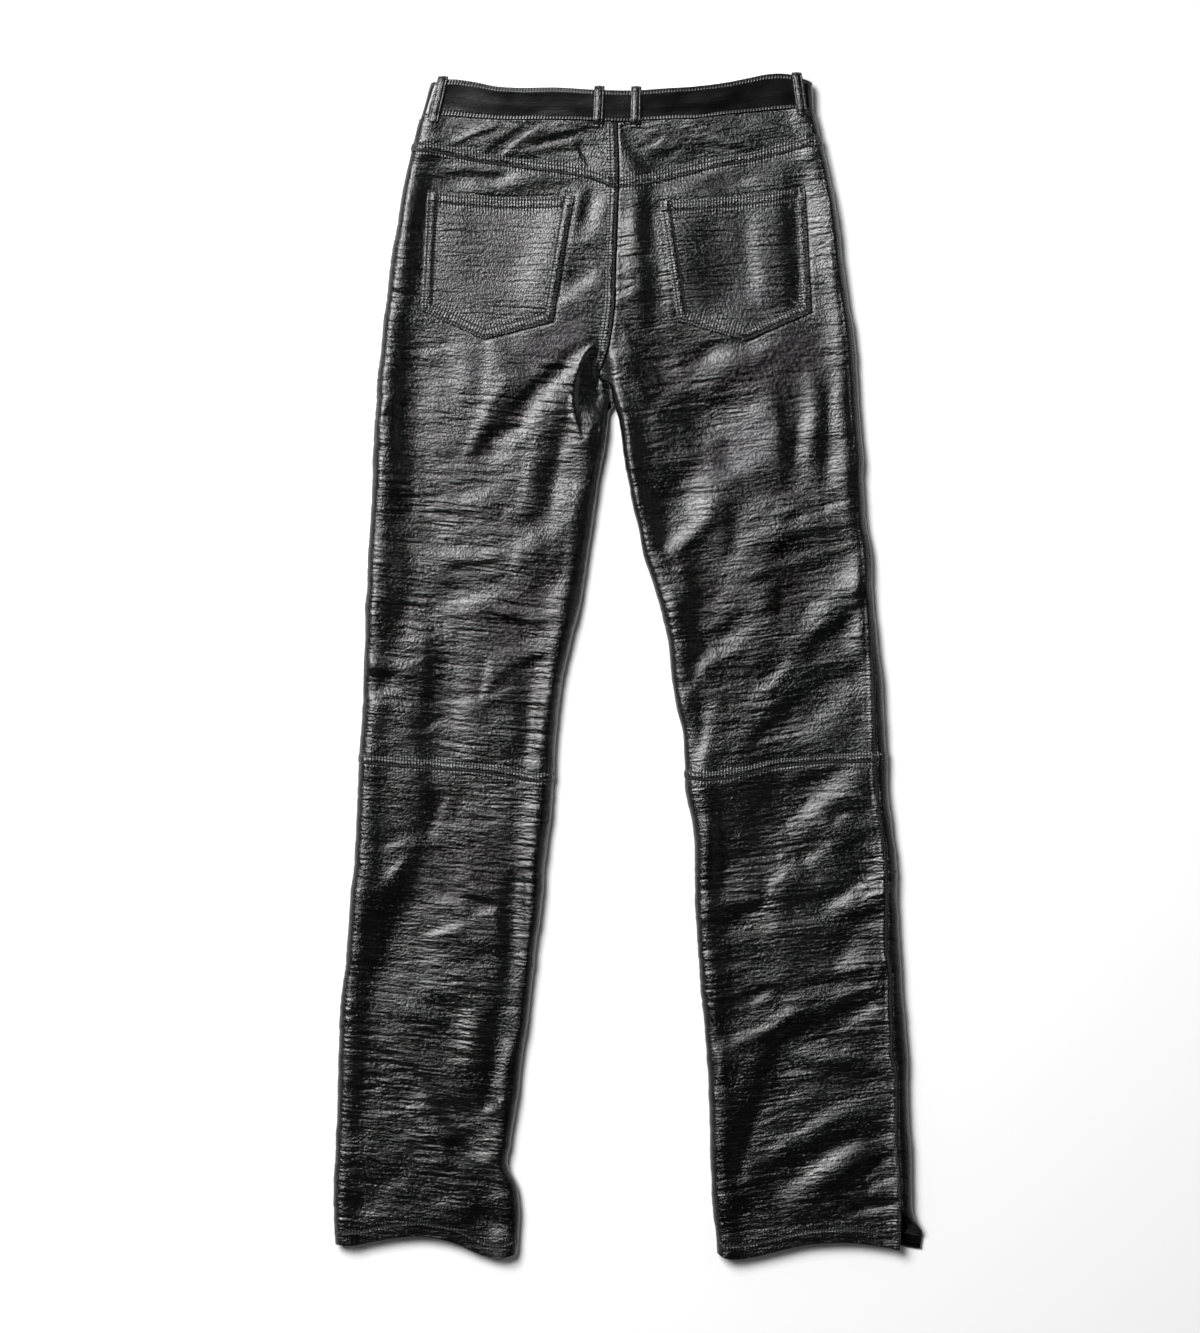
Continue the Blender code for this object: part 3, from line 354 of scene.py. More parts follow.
# The largest folds. The hide slopes one way along each fold's line, and eases back slowly on either side:
# rise is half of its climb, above 0 where it faces the left of its line. turn is in degrees, counterclockwise
# from +x as seen from above.
FOLDS = table(
    "x down turn length width rise bend",
    # yokes and waist
    (-112, 62, 7, 230, 22, -3.4, 0),
    (118, 60, -7, 200, 22, -2.2, 0),
    (102, 67, -38, 147, 9, -1.6, 3),
    (12, 60, 114, 74, 8, -1.3, 0),
    (69, 93, 23, 85, 9, 1.8, 2),
    (182, 61, 27, 85, 9, 1.3, 0),
    (-186, 67, 22, 49, 7, -1.1, 0),
    (-66, 94, 7, 134, 6, -0.8, 2),
    (-96, 83, 13, 56, 6, 1.1, 0),
    # seat
    (-204, 149, 89, 159, 9, -1.3, 0),
    (-81, 161, 76, 148, 25, 3, 0),
    (28, 152, 91, 191, 9, -1.9, 0),
    (12, 151, 89, 127, 8, 1.1, 0),
    (34, 275, 93, 195, 20, -3, 0),
    (49, 176, 94, 152, 8, 1, 0),
    (172, 155, 91, 190, 9, -1.6, 0),
    (190, 158, 91, 163, 6, 0.8, 0),
    (220, 142, 94, 176, 6, -0.8, 0),
    (212, 135, 92, 195, 6, 1, 0),
    (-24, 128, 72, 60, 7, 1, 0),
    (-34, 122, 73, 61, 6, -1, 0),
    (-37, 197, 38, 80, 6, 1.1, 0),
    (137, 168, 93, 111, 8, 1, 0),
    (85, 176, 93, 115, 22, -1.8, 0),
    # left thigh
    (-213, 309, 90, 211, 15, -2.5, 0),
    (-214, 445, 90, 169, 13, -1.8, 0),
    (-221, 529, 78, 77, 9, -1.5, 0),
    (-99, 313, 47, 189, 7, -1.5, -5),
    (-136, 327, 62, 120, 5, 0.8, -4),
    (-71, 309, 54, 170, 7, 1.3, -5),
    (-63, 357, 73, 198, 12, -1.9, -4),
    (-54, 372, 79, 175, 7, 1.2, -2),
    (-92, 385, 78, 104, 6, 0.9, 0),
    (-129, 282, 83, 88, 8, 1.1, 0),
    (-161, 272, 88, 98, 20, 1.6, 0),
    (-115, 360, 63, 58, 10, 1.1, 0),
    (-39, 442, 84, 320, 11, -2.5, 0),
    (-146, 465, 88, 221, 34, 1.8, 0),
    (-77, 474, 82, 75, 10, -1.3, 0),
    (-187, 574, 83, 83, 11, -2, 0),
    (-58, 475, 85, 91, 8, -1, 0),
    (-64, 506, 65, 46, 7, 1, 0),
    # right thigh
    (12, 355, 98, 300, 12, -2.4, 0),
    (60, 347, 78, 141, 26, -4.3, -4),
    (44, 423, 81, 113, 14, -2, 0),
    (17, 373, 97, 175, 11, -2.1, 0),
    (232, 345, 92, 273, 8, -1.5, 0),
    (246, 515, 93, 156, 7, -1.2, 0),
    (166, 350, 91, 109, 7, -1.4, 0),
    (189, 339, 90, 148, 8, 1.6, 0),
    (206, 336, 90, 114, 8, -1.5, 0),
    (217, 348, 90, 120, 7, 1.6, 0),
    (124, 350, 81, 105, 26, 2.5, 0),
    (84, 401, 62, 62, 14, 1.6, 0),
    (65, 447, 40, 102, 7, 1.6, 6),
    (76, 456, 39, 83, 6, -1.2, 6),
    (54, 494, 89, 73, 8, 1.2, 0),
    (75, 512, 88, 130, 11, -2.2, 0),
    (111, 439, 92, 70, 10, -1.9, 0),
    (182, 474, 19, 157, 7, -1.2, 0),
    (222, 530, 46, 124, 10, -2.3, 3),
    (218, 502, 53, 98, 14, 2, 0),
    (243, 532, 71, 65, 9, 1.4, 0),
    (159, 514, 90, 47, 7, -1.1, 0),
    (102, 539, 31, 76, 6, -1, 0),
    (123, 450, 87, 104, 20, 1.3, 0),
    (244, 380, 91, 182, 6, -1, 0),
    # left calf
    (-193, 650, 90, 130, 13, -2.1, 0),
    (-198, 745, 69, 125, 14, -2.2, 0),
    (-229, 826, 72, 133, 17, -3, -3),
    (-157, 628, 90, 150, 13, 2, 0),
    (-80, 630, 81, 147, 7, 1.5, 0),
    (-95, 638, 87, 98, 10, -1.1, 0),
    (-62, 630, 83, 183, 8, -1.5, 0),
    (-78, 805, 87, 273, 7, -1.4, 0),
    (-178, 728, 69, 65, 6, 1.1, 0),
    (-160, 762, 88, 137, 18, 1.1, 0),
    (-110, 849, 89, 159, 9, -2, 0),
    (-92, 800, 89, 195, 7, 1.6, 0),
    (-184, 862, 86, 124, 24, 2.5, 0),
    (-151, 942, 86, 85, 10, 1.9, 0),
    (-130, 954, 87, 115, 9, -1.6, -2),
    (-113, 973, 75, 121, 6, 1.3, 2),
    (-108, 979, 85, 76, 9, -1.8, 0),
    (-193, 920, 166, 64, 6, -0.8, 0),
    (-225, 594, 51, 67, 7, 1.1, 4),
    (-254, 860, 80, 132, 12, -1.1, 0),
    (-170, 1045, 104, 80, 14, -2, 0),
    (-258, 1049, 39, 45, 12, 1, 0),
    (-143, 1105, 83, 92, 12, -1.3, 0),
    (-249, 1122, 38, 53, 14, 1.1, 0),
    # right calf
    (134, 714, 81, 147, 24, -4.1, -4),
    (86, 651, 86, 128, 8, 1.6, 0),
    (86, 731, 89, 91, 6, 1.2, 0),
    (99, 758, 85, 124, 10, -2, 0),
    (207, 709, 42, 120, 13, 2.5, 0),
    (209, 624, 40, 88, 14, 2, 0),
    (253, 684, 87, 94, 10, -2.1, 0),
    (158, 628, 42, 94, 8, -1.5, 0),
    (214, 586, 21, 86, 7, -1.4, 0),
    (201, 685, 21, 78, 6, -1.1, 0),
    (248, 746, 31, 82, 8, -1.6, 0),
    (202, 761, 40, 44, 9, 1.4, 0),
    (238, 802, 31, 82, 8, 1.7, 0),
    (245, 824, 18, 82, 7, -1.4, 0),
    (155, 804, 77, 117, 9, 1.1, 0),
    (105, 835, 45, 74, 12, -1.5, 0),
    (134, 942, 26, 119, 7, 1.6, 3),
    (190, 934, 19, 178, 8, -2, 5),
    (243, 925, 27, 64, 8, 1.8, 0),
    (138, 1010, 74, 201, 13, -3, -8),
    (135, 1054, 73, 109, 7, 1.4, 0),
    (194, 1036, 28, 133, 8, 1.6, 3),
    (204, 1056, 20, 164, 8, -1.8, 0),
    (202, 1080, 34, 122, 10, 2.5, 0),
    (240, 1084, 32, 119, 9, -2, 0),
    (187, 1004, 30, 42, 7, 1.2, 0),
    (234, 863, 49, 52, 9, 1.5, 0),
    (271, 895, 92, 299, 8, -1.5, 0),
    (129, 1110, 38, 85, 10, -1.6, 0),
    (154, 591, 42, 74, 6, 1.1, 5),
    (79, 587, 65, 49, 7, 1.3, 0),
)
# Narrower ones of the same form
NARROW_FOLDS = table(
    "x down turn length width rise bend",
    # yokes
    (-182, 48, 11, 46, 2.6, 0.56, 0),
    (-145, 42, 23, 57, 2.6, 0.68, -2),
    (-144, 47, 22, 70, 2.6, -0.62, -2),
    (-96, 49, 31, 76, 2.6, 0.74, -4),
    (-116, 50, 32, 58, 2.6, -0.62, -3),
    (-68, 56, 12, 77, 2.9, 0.93, 2),
    (-52, 45, 15, 78, 3.2, -0.74, 0),
    (-36, 64, 120, 36, 2.6, -0.62, 0),
    (-144, 76, 3, 86, 2.6, 0.56, 0),
    (-141, 84, 1, 94, 2.6, -0.56, 0),
    (-137, 95, 1, 104, 3.2, 0.56, 0),
    (-47, 65, 9, 79, 3.2, 0.43, 0),
    (36, 55, 25, 30, 2.6, 0.68, 3),
    (50, 62, 22, 42, 2.6, -0.56, 3),
    (123, 50, -10, 90, 3.2, 0.74, -3),
    (113, 57, -9, 79, 3.2, -0.56, 0),
    (168, 36, -21, 77, 3.2, 0.62, -2),
    (170, 45, -24, 71, 3.2, -0.56, -2),
    (111, 96, 12, 74, 3.2, 0.56, 0),
    # thighs
    (-220, 339, 88, 86, 6, -1, 0),
    (-228, 570, -13, 68, 5, 1.6, -2),
    (-235, 582, -1, 57, 5, -1.4, 0),
    (-130, 591, 82, 55, 5, 1.2, 4),
    (-85, 572, 21, 72, 5, -1.1, 0),
    (-117, 604, 18, 33, 4, 0.9, 0),
    (-150, 462, 1, 108, 5, 1, 3),
    (-144, 474, 6, 65, 4, -1.1, 2),
    (-147, 492, 6, 105, 5, -0.8, 0),
    (-136, 508, 8, 108, 5, 0.9, 2),
    (-104, 529, -15, 73, 4, -0.9, 0),
    (-100, 522, -12, 73, 4, 0.8, 0),
    (-153, 408, 11, 90, 5, 0.8, 2),
    (-157, 422, 6, 105, 5, -0.7, 2),
    (190, 467, 17, 150, 5, 1, 2),
    (183, 448, 16, 135, 5, -0.8, 2),
    (180, 430, 16, 143, 5, 0.8, 2),
    (87, 646, 77, 96, 6, 1, 0),
    (204, 578, 13, 53, 5, -1, 0),
    (-239, 374, 77, 48, 5, 0.9, 0),
    (-233, 328, 67, 40, 5, -0.9, 0),
    (-103, 470, 82, 39, 5, 0.9, 0),
    (140, 535, 24, 94, 5, 0.9, 0),
    (107, 560, 23, 68, 5, 0.9, 0),
    (176, 345, 86, 91, 4, -0.6, 0),
    (22, 285, 99, 118, 6, -0.7, 0),
    (-173, 259, 7, 68, 5, 0.7, 0),
    (114, 262, 14, 110, 6, 1.4, -6),
    (110, 250, 10, 87, 5, -1.2, -5),
    (-12, 315, 90, 90, 7, -2.2, 0),
    # calves
    (-135, 905, -47, 46, 4, -0.9, 0),
    (-147, 815, -13, 80, 5, 1, 0),
    (-130, 801, -22, 48, 4, 1.2, 0),
    (-135, 810, -21, 44, 4, -1, 0),
    (-134, 822, 19, 36, 4, 1.1, 0),
    (-174, 839, 15, 50, 4, 1, 0),
    (-223, 779, 52, 43, 5, 1.2, 0),
    (-215, 753, 21, 50, 5, 0.9, 0),
    (-216, 970, -26, 84, 5, -1, 3),
    (-160, 1023, -52, 115, 5, -1.3, 3),
    (-168, 1029, -53, 108, 6, 1.2, 3),
    (-196, 1039, -39, 70, 5, -0.9, 0),
    (218, 888, 11, 93, 5, -0.9, 0),
    (218, 901, 9, 118, 5, 0.9, 0),
    (138, 902, 12, 93, 5, -0.8, 0),
    (144, 906, 29, 33, 4, 1.1, 0),
    (113, 825, 18, 82, 5, -0.9, 0),
    (257, 803, 27, 41, 4, 1.1, 0),
    (166, 785, 49, 52, 5, 1, 0),
    (208, 805, 16, 95, 6, -0.9, 2),
    (266, 1095, 25, 43, 5, 1.6, 0),
    (259, 1112, 9, 68, 4, -1.2, 0),
    (256, 1121, 11, 66, 4, 1.2, 0),
    (261, 1080, 36, 45, 5, 1.2, 0),
    (113, 820, 9, 79, 5, -0.9, 0),
    (224, 978, -9, 134, 6, -0.8, -3),
    (223, 961, -6, 131, 6, 0.8, -3),
    (264, 885, 59, 45, 6, -1.1, 0),
    (-232, 1022, 12, 93, 7, 0.7, 0),
    (-182, 1052, 12, 93, 7, -0.7, 0),
    (-221, 1096, 21, 44, 6, 0.9, 0),
    (-127, 1127, -48, 39, 6, -1, 0),
    (-122, 1015, 38, 30, 4, 1.3, 0),
    (99, 977, 82, 39, 4, 1.3, 0),
    (226, 728, 35, 27, 5, 1.2, 0),
    (263, 705, 49, 24, 5, 1.2, 0),
    (210, 539, 25, 43, 4, -0.8, 0),
    (-248, 635, 85, 91, 5, 0.8, 0),
)


def smooth(at, xs, ys):
    """A cubic curve through a table's points, with the chords either side giving each slope."""
    slopes = np.gradient(ys, xs)
    at = np.clip(at, xs[0], xs[-1])
    i = np.clip(np.searchsorted(xs, at, side="right") - 1, 0, len(xs) - 2)
    span = xs[i + 1] - xs[i]
    t = (at - xs[i]) / span
    return (
        ys[i] * (1 + 2 * t) * (1 - t) ** 2
        + ys[i + 1] * t**2 * (3 - 2 * t)
        + span * (slopes[i] * t * (1 - t) ** 2 - slopes[i + 1] * t**2 * (1 - t))
    )


def follow(curve, at):
    """A table of two columns as a smooth curve: the second one, from places along the first."""
    places, values = curve.values()
    return smooth(at, places, values)


def ease(t):
    """0 to 1 with level ends, for t from 0 to 1: 3 t squared less 2 t cubed."""
    t = np.clip(t, 0, 1)
    return t * t * (3 - 2 * t)


def bell(distance, width):
    """1 at no distance, falling off either side as a bell of that half width."""
    return np.exp(-((distance / width) ** 2))


def noise(u, v, seed):
    """Smooth noise from 0 to 1: a random value at each whole u and v, eased between its four corners."""
    size = 128
    values = np.random.default_rng(seed).random((size, size))
    i, j = np.floor(u).astype(int), np.floor(v).astype(int)
    fu, fv = ease(u - i), ease(v - j)
    near = values[i % size, j % size] * (1 - fv) + values[i % size, (j + 1) % size] * fv
    far = values[(i + 1) % size, j % size] * (1 - fv) + values[(i + 1) % size, (j + 1) % size] * fv
    return near * (1 - fu) + far * fu


def fold_heights(listed, x, down):
    """The height that a table of folds adds: each climbs across its line as -tanh(steep t) e^(-(t/reach)^2),
    with t the distance across it over its width, and fades to nothing at its ends as (1 - along^4)^2."""
    total = np.zeros(np.broadcast(x, down).shape)
    for i in range(len(listed["x"])):
        turn = math.radians(listed["turn"][i])
        dx, dy = x - listed["x"][i], listed["down"][i] - down
        along = (dx * math.cos(turn) + dy * math.sin(turn)) * 2 / listed["length"][i]
        across = dy * math.cos(turn) - dx * math.sin(turn) - listed["bend"][i] * along**2
        t = across / listed["width"][i]
        fade = np.clip(1 - along**4, 0, 1) ** 2
        total -= listed["rise"][i] * fade * np.tanh(FOLD_STEEP * t) * np.exp(-((t / FOLD_REACH) ** 2))
    return total


def uneven(u, v, length, width, seed):
    """Smooth noise from -0.5 to 0.5, in patches of that length and width."""
    return noise(u / length, v / width, seed) - 0.5


def wander(x, down, seed):
    """How far folds stray from their lines, so that none is straight: up to about 2 mm."""
    slow = uneven(x, down, 38 * MM, 38 * MM, seed)
    quick = uneven(x, down, 13 * MM, 13 * MM, seed + 1)
    return (3.5 * slow + 1.2 * quick) * MM


def pillows(s, v, seed):
    """Soft pillows from 0 to 1 with sharp valleys between: twice the distance of noise from a half."""
    return 2 * np.abs(noise(s, v, seed) - 0.5)


def quarter(radius):
    """The length of a quarter of a roll."""
    return radius * math.pi / 2


def along_roll(inset, radius):
    """How far along the hide a seam lies from the outline, from how far in it is seen from above."""
    turned = np.arccos(np.clip(1 - np.abs(inset) / radius, 0, 1))
    return np.sign(inset) * (radius * turned + np.maximum(np.abs(inset) - radius, 0))


# Spacing, shortest and longest, shallowest and deepest, narrowest and widest, all in millimetres
CREASE_KINDS = (
    (5.5, 30, 150, 0.10, 0.5, 0.7, 1.1),
    (3.4, 10, 45, 0.06, 0.24, 0.55, 0.9),
    (26.0, 40, 120, 0.12, 0.4, 1.8, 3.2),
)
CREASED_FROM = -30
CREASED_LENGTH = 1230
CREASED_WIDTH = 440
CREASE_BEND = 0.02  # how far creases usually bend, as a share of their length, and how far they slant
CREASE_SLANT = 0.045


def draw_creases(seed):
    """One leg's creases, long, short and broad ones, each as a row: along and down place, half
    length, depth, half width, bend and slant. They are uneven in all of these."""
    draw = np.random.default_rng(seed)
    kinds = []
    for spacing, shortest, longest, shallow, deep, narrow, wide in CREASE_KINDS:
        count = int(CREASED_LENGTH * CREASED_WIDTH / (spacing * (shortest + longest) / 2))
        length = shortest + (longest - shortest) * draw.random(count) ** 2
        kinds.append(np.stack([
            (draw.random(count) - 0.5) * CREASED_WIDTH,
            (np.arange(count) + draw.random(count)) * CREASED_LENGTH / count + CREASED_FROM,
            length / 2,
            shallow + (deep - shallow) * draw.random(count) ** 1.5,
            narrow + (wide - narrow) * draw.random(count),
            draw.normal(0, CREASE_BEND, count) * length,
            draw.normal(0, CREASE_SLANT, count),
        ], axis=-1))
    return np.concatenate(kinds)


class Half:
    """One half of the garment, left (side -1) or right (side 1): its outline, seams and drape."""

    def __init__(self, name, side, outline, inner, outseam, inseam, knee_seam, hem,
                 vent_flare, vent_start, roll_grows, seed):
        self.name = name
        self.side = side
        self.outline = outline
        self.inner = inner
        self.outseam = outseam
        self.inseam = inseam
        self.knee_seam = knee_seam
        self.hem = hem
        self.vent_flare = vent_flare
        self.vent_start = vent_start
        self.roll_grows = roll_grows
        self.seed = seed
        self.creases = draw_creases(seed)
        self.pocket_creases = draw_creases(seed + 1)

    def outer_x(self, down):
        """The outer edge of the drape, where the hide rolls from the back to the front."""
        return follow(self.outline, down)

    def inner_x(self, down, centre):
        """The inner edge of the drape: the centre seam above the crotch, the leg's outline below it."""
        seam_x = follow(centre, down) + self.side * SEAM_GAP / 2
        leg = follow(self.inner, down)
        crotch = CROTCH_DOWN if centre is CENTRE_BACK else FRONT_CROTCH_DOWN
        return seam_x + (leg - seam_x) * ease((down - crotch) / LEG_PARTS_OVER)

    def inner_radius(self, down):
        """The roll at the inner edge, which grows from nothing at the crotch."""
        grown = ease((down - CROTCH_DOWN) / self.roll_grows)
        return LEAST_ROLL + (ROLL_RADIUS - LEAST_ROLL) * grown

    def across(self, face, down):
        """The outer and inner outline, the inner roll, and the hide's length across one face."""
        outline = self.outer_x(down)
        if face < 0:
            outline = outline + self.side * self.vent_flare * ease((down - VENT_TOP) / VENT_LENGTH)
        inner = self.inner_x(down, CENTRE_BACK if face > 0 else CENTRE_FRONT)
        radius_in = self.inner_radius(down)
        flat = np.abs(inner - outline) - ROLL_RADIUS - radius_in
        return outline, inner, radius_in, flat + quarter(ROLL_RADIUS + radius_in)

    def edges(self, face, down):
        """Where a panel starts and stops, along the hide from the outer outline."""
        outseam = along_roll(follow(self.outseam, down), ROLL_RADIUS)
        start = face * outseam + SEAM_GAP / 2
        if face < 0:
            start = start + (self.vent_start - start) * ease((down - VENT_TOP) / VENT_LENGTH)
        _, _, radius_in, whole = self.across(face, down)
        on_leg = ease((down - INSEAM_FROM) / INSEAM_OVER)
        inset = follow(self.inseam, down)
        inseam = face * along_roll(inset, ROLL_RADIUS) * radius_in / ROLL_RADIUS
        end = quarter(radius_in) * (1 - on_leg) + (inseam + SEAM_GAP / 2) * on_leg
        return start, whole - end

    def skin(self, x, down):
        """The height of the back's outer face, apart from its fine relief."""
        outline_in = np.abs(x - self.outer_x(down))
        leg_in = np.abs(x - follow(self.inner, down))
        leg = ease((down - CROTCH_DOWN) / SHOULDER_GROWS_OVER)
        swell = bell(outline_in - SHOULDER_IN, SHOULDER_WIDTH)
        swell += leg * bell(leg_in - SHOULDER_IN, SHOULDER_WIDTH)
        height = follow(LEVEL, down)
        height = height + SHOULDER_SWELL * swell
        wander_x = x + wander(x, down, 61)
        wander_down = down + wander(x, down, 67)
        share = FOLD_SHARE[0] + FOLD_SHARE[1] * noise(x / FOLD_PATCH, down / FOLD_PATCH, 83)
        for listed in (FOLDS, NARROW_FOLDS):
            height = height + share * fold_heights(listed, wander_x, wander_down)
        height = np.maximum(height, LEAST_HEIGHT)
        reach = np.where(down > CROTCH_DOWN, HOLLOW_BELOW, HOLLOW_ABOVE)
        hollow = CROTCH_HOLLOW * bell(x - CROTCH_X, HOLLOW_WIDTH) * bell(down - CROTCH_DOWN, reach)
        if self.side < 0:
            recess, ridge = self.arch(x, down)
            return height + ridge - np.maximum(hollow, recess)
        return height - hollow

    def arch(self, x, down):
        """The recess inside the fold that arches round the crotch, and the ridge along the fold."""
        inside = np.minimum(
            x - follow(ARCH_LEFT, down),
            down - follow(ARCH_TOP, x),
        )
        holds = 1 - ease((down - ARCH_HOLDS_TO) / ARCH_FADES_OVER)
        from_seam = follow(CENTRE_BACK, down) - x
        clear = ease(from_seam / ARCH_CLEAR_OF_SEAM)
        clear = clear + (1 - clear) * ease((down - CROTCH_DOWN) / ARCH_WIDENS_OVER)
        # a third of the drop is a steep side, and the rest slopes on inwards
        past_lip = inside + ARCH_LIP
        falls = 0.35 * ease(past_lip / ARCH_SIDE) + 0.65 * ease(past_lip / ARCH_REACH)
        recess = ARCH_DROP * falls * holds * clear
        ridge = ARCH_RIDGE * bell(inside + ARCH_RIDGE_OUT, ARCH_RIDGE_WIDTH) * holds
        return recess, ridge

    def ground(self, x, down):
        """The height of the front's outer face, which rests on the floor below the waist."""
        lift = FRONT_BAND_LIFT * (1 - ease((down - LIFT_HOLDS_TO) / (LIFT_FADES_AT - LIFT_HOLDS_TO)))
        away = np.hypot(x - CROTCH_X, down - CROTCH_DOWN) / CROTCH_REACH
        return lift + CROTCH_LIFT * np.exp(-(away**2))


HALVES = {
    "left": Half(
        name="left", side=-1, outline=LEFT_OUTLINE, inner=LEFT_INNER, outseam=LEFT_OUTSEAM,
        inseam=LEFT_INSEAM, knee_seam=LEFT_KNEE_SEAM, hem=LEFT_HEM,
        vent_flare=0.0, vent_start=8 * MM, roll_grows=90 * MM, seed=11,
    ),
    "right": Half(
        name="right", side=1, outline=RIGHT_OUTLINE, inner=RIGHT_INNER, outseam=RIGHT_OUTSEAM,
        inseam=RIGHT_INSEAM, knee_seam=RIGHT_KNEE_SEAM, hem=RIGHT_HEM,
        vent_flare=VENT_FLARE, vent_start=quarter(ROLL_RADIUS), roll_grows=40 * MM, seed=47,
    ),
}


def hide_x(half, face, place, down):
    """x of points on one face of a half, from how far along the hide they lie past its outline."""
    outline, inner, radius_in, whole = half.across(face, down)
    rest = whole - place
    outer_turn = np.clip(place / quarter(ROLL_RADIUS), -1, 1) * math.pi / 2
    inner_turn = np.clip(rest / quarter(radius_in), -1, 1) * math.pi / 2
    past_outer = np.maximum(np.abs(place) - quarter(ROLL_RADIUS), 0)
    past_inner = np.maximum(np.abs(rest) - quarter(radius_in), 0)
    from_outer = ROLL_RADIUS * (1 - np.cos(outer_turn)) + past_outer
    from_inner = radius_in * (1 - np.cos(inner_turn)) + past_inner
    x = np.where(place < whole / 2, outline - half.side * from_outer, inner + half.side * from_inner)
    return x, (2 - np.sin(outer_turn) - np.sin(inner_turn)) / 2


def hide_points(half, face, place, down):
    """Points on one face of a half, in the part's own frame. Height goes from the ground to the skin
    as an ellipse round each roll."""
    x, turned = hide_x(half, face, place, down)
    lifted = 1 - turned if face > 0 else turned
    low, high = half.ground(x, down), half.skin(x, down)
    return placed(x, down, low + (high - low) * lifted)


def placed(x, down, height):
    """Garment places in the part's own frame."""
    return together(x - GARMENT_MIDDLE_X, GARMENT_MIDDLE_DOWN - down, height)


def together(*columns):
    """Arrays brought to one shape, as the columns of one."""
    return np.stack(np.broadcast_arrays(*columns), axis=-1)


def unit(vectors):
    """Vectors at length 1."""
    return vectors / np.maximum(np.linalg.norm(vectors, axis=-1, keepdims=True), 1e-12)


def creased(creases, s, v):
    """The depth of a set of creases at places given in millimetres. Each is a narrow valley with a low
    lip on either side, whose depth fades towards its ends: d(1 - t^2)(0.3 e^(-y^2/9w^2) - e^(-y^2/w^2)),
    with t along and y across it."""
    shape = np.broadcast(s, v).shape
    s, v = np.broadcast_to(s, shape).ravel(), np.broadcast_to(v, shape).ravel()
    depth = np.zeros(len(s))
    order = np.argsort(v)
    sorted_v = v[order]
    for along, middle, half_length, deep, width, bend, slant in creases:
        reach = 4.5 * width + abs(bend) + abs(slant) * half_length
        first, last = np.searchsorted(sorted_v, (middle - reach, middle + reach))
        near = order[first:last]
        t = (s[near] - along) / half_length
        near, t = near[np.abs(t) < 1], t[np.abs(t) < 1]
        across = v[near] - middle - bend * t**2 - slant * t * half_length
        square = (across / width) ** 2
        depth[near] += deep * (1 - t**2) * (0.3 * np.exp(-square / 9) - np.exp(-square))
    return depth.reshape(shape)


def crease_depth(half, face, place, down):
    """Fine creases across the leg, as a share of the crease depth, with slow swells between them. The
    creases wander a little, and run deeper in some zones than in others."""
    s = face * place / MM
    lean = down / MM - LEG_LEAN * np.abs(place) / MM
    v = lean + 5.0 * uneven(s, lean, 62, 41, half.seed)
    v = v + 1.6 * uneven(s, lean, 15, 24, half.seed + 9)
    zone = 0.35 + 1.0 * ease((noise(s / 66, v / 52, half.seed + 3) - 0.25) / 0.5)
    swells = 1.5 * uneven(s, v, 40, 26, half.seed + 5)
    swells += 0.6 * uneven(s, v, 19, 12, half.seed + 6)
    puffs = 0.5 * pillows(s / 30, v / 9, half.seed + 7) + 0.32 * pillows(s / 13, v / 4.5, half.seed + 8)
    return (creased(half.creases, s, v) + puffs) * zone + swells


def lap(distance, width=LAP_WIDTH, rise=LAP_RISE):
    """The rise of a lapped strip, from the distance to its edge: a step at its far side, and between
    its two stitched sides a slight swell."""
    inside = ease((width + LAP_STEP / 2 - distance) / LAP_STEP) * (distance >= -SEAM_GAP)
    return inside * (rise + LAP_SWELL * np.sin(np.pi * np.clip(distance / width, 0, 1)))


def tuck(below):
    """The dip of a panel's edge where another laps over it, from how far past that edge a point is."""
    return -TUCK_DEPTH * bell(below, TUCK_WIDTH) * (below > -SEAM_GAP)


def groove(distance, row):
    """The dent that a row of stitches pulls into the hide, apart from what its bump adds."""
    return -GROOVE_DEPTH * bell(distance - row, GROOVE_WIDTH)


def puckers(along, distance, reach, seed):
    """Small gathers square to a seam, about a stitch apart, that fade away from it."""
    level = np.zeros(np.shape(along))
    wave = noise(along / PUCKER_PITCH, level, seed) + 0.6 * noise(along / WIDE_PUCKER_PITCH, level, seed + 1)
    return (wave - 0.8) * PUCKER_DEPTH * np.exp(-np.abs(distance) / reach)


def above_seams(half, face, x, down):
    """How far above the yoke seam, the knee seam and the hem points lie."""
    hem = seam(half.hem)(x) - (HEM_SHORTER if face < 0 else 0)
    return seam(YOKE_SEAM)(x) - down, seam(half.knee_seam)(x) - down, hem - down


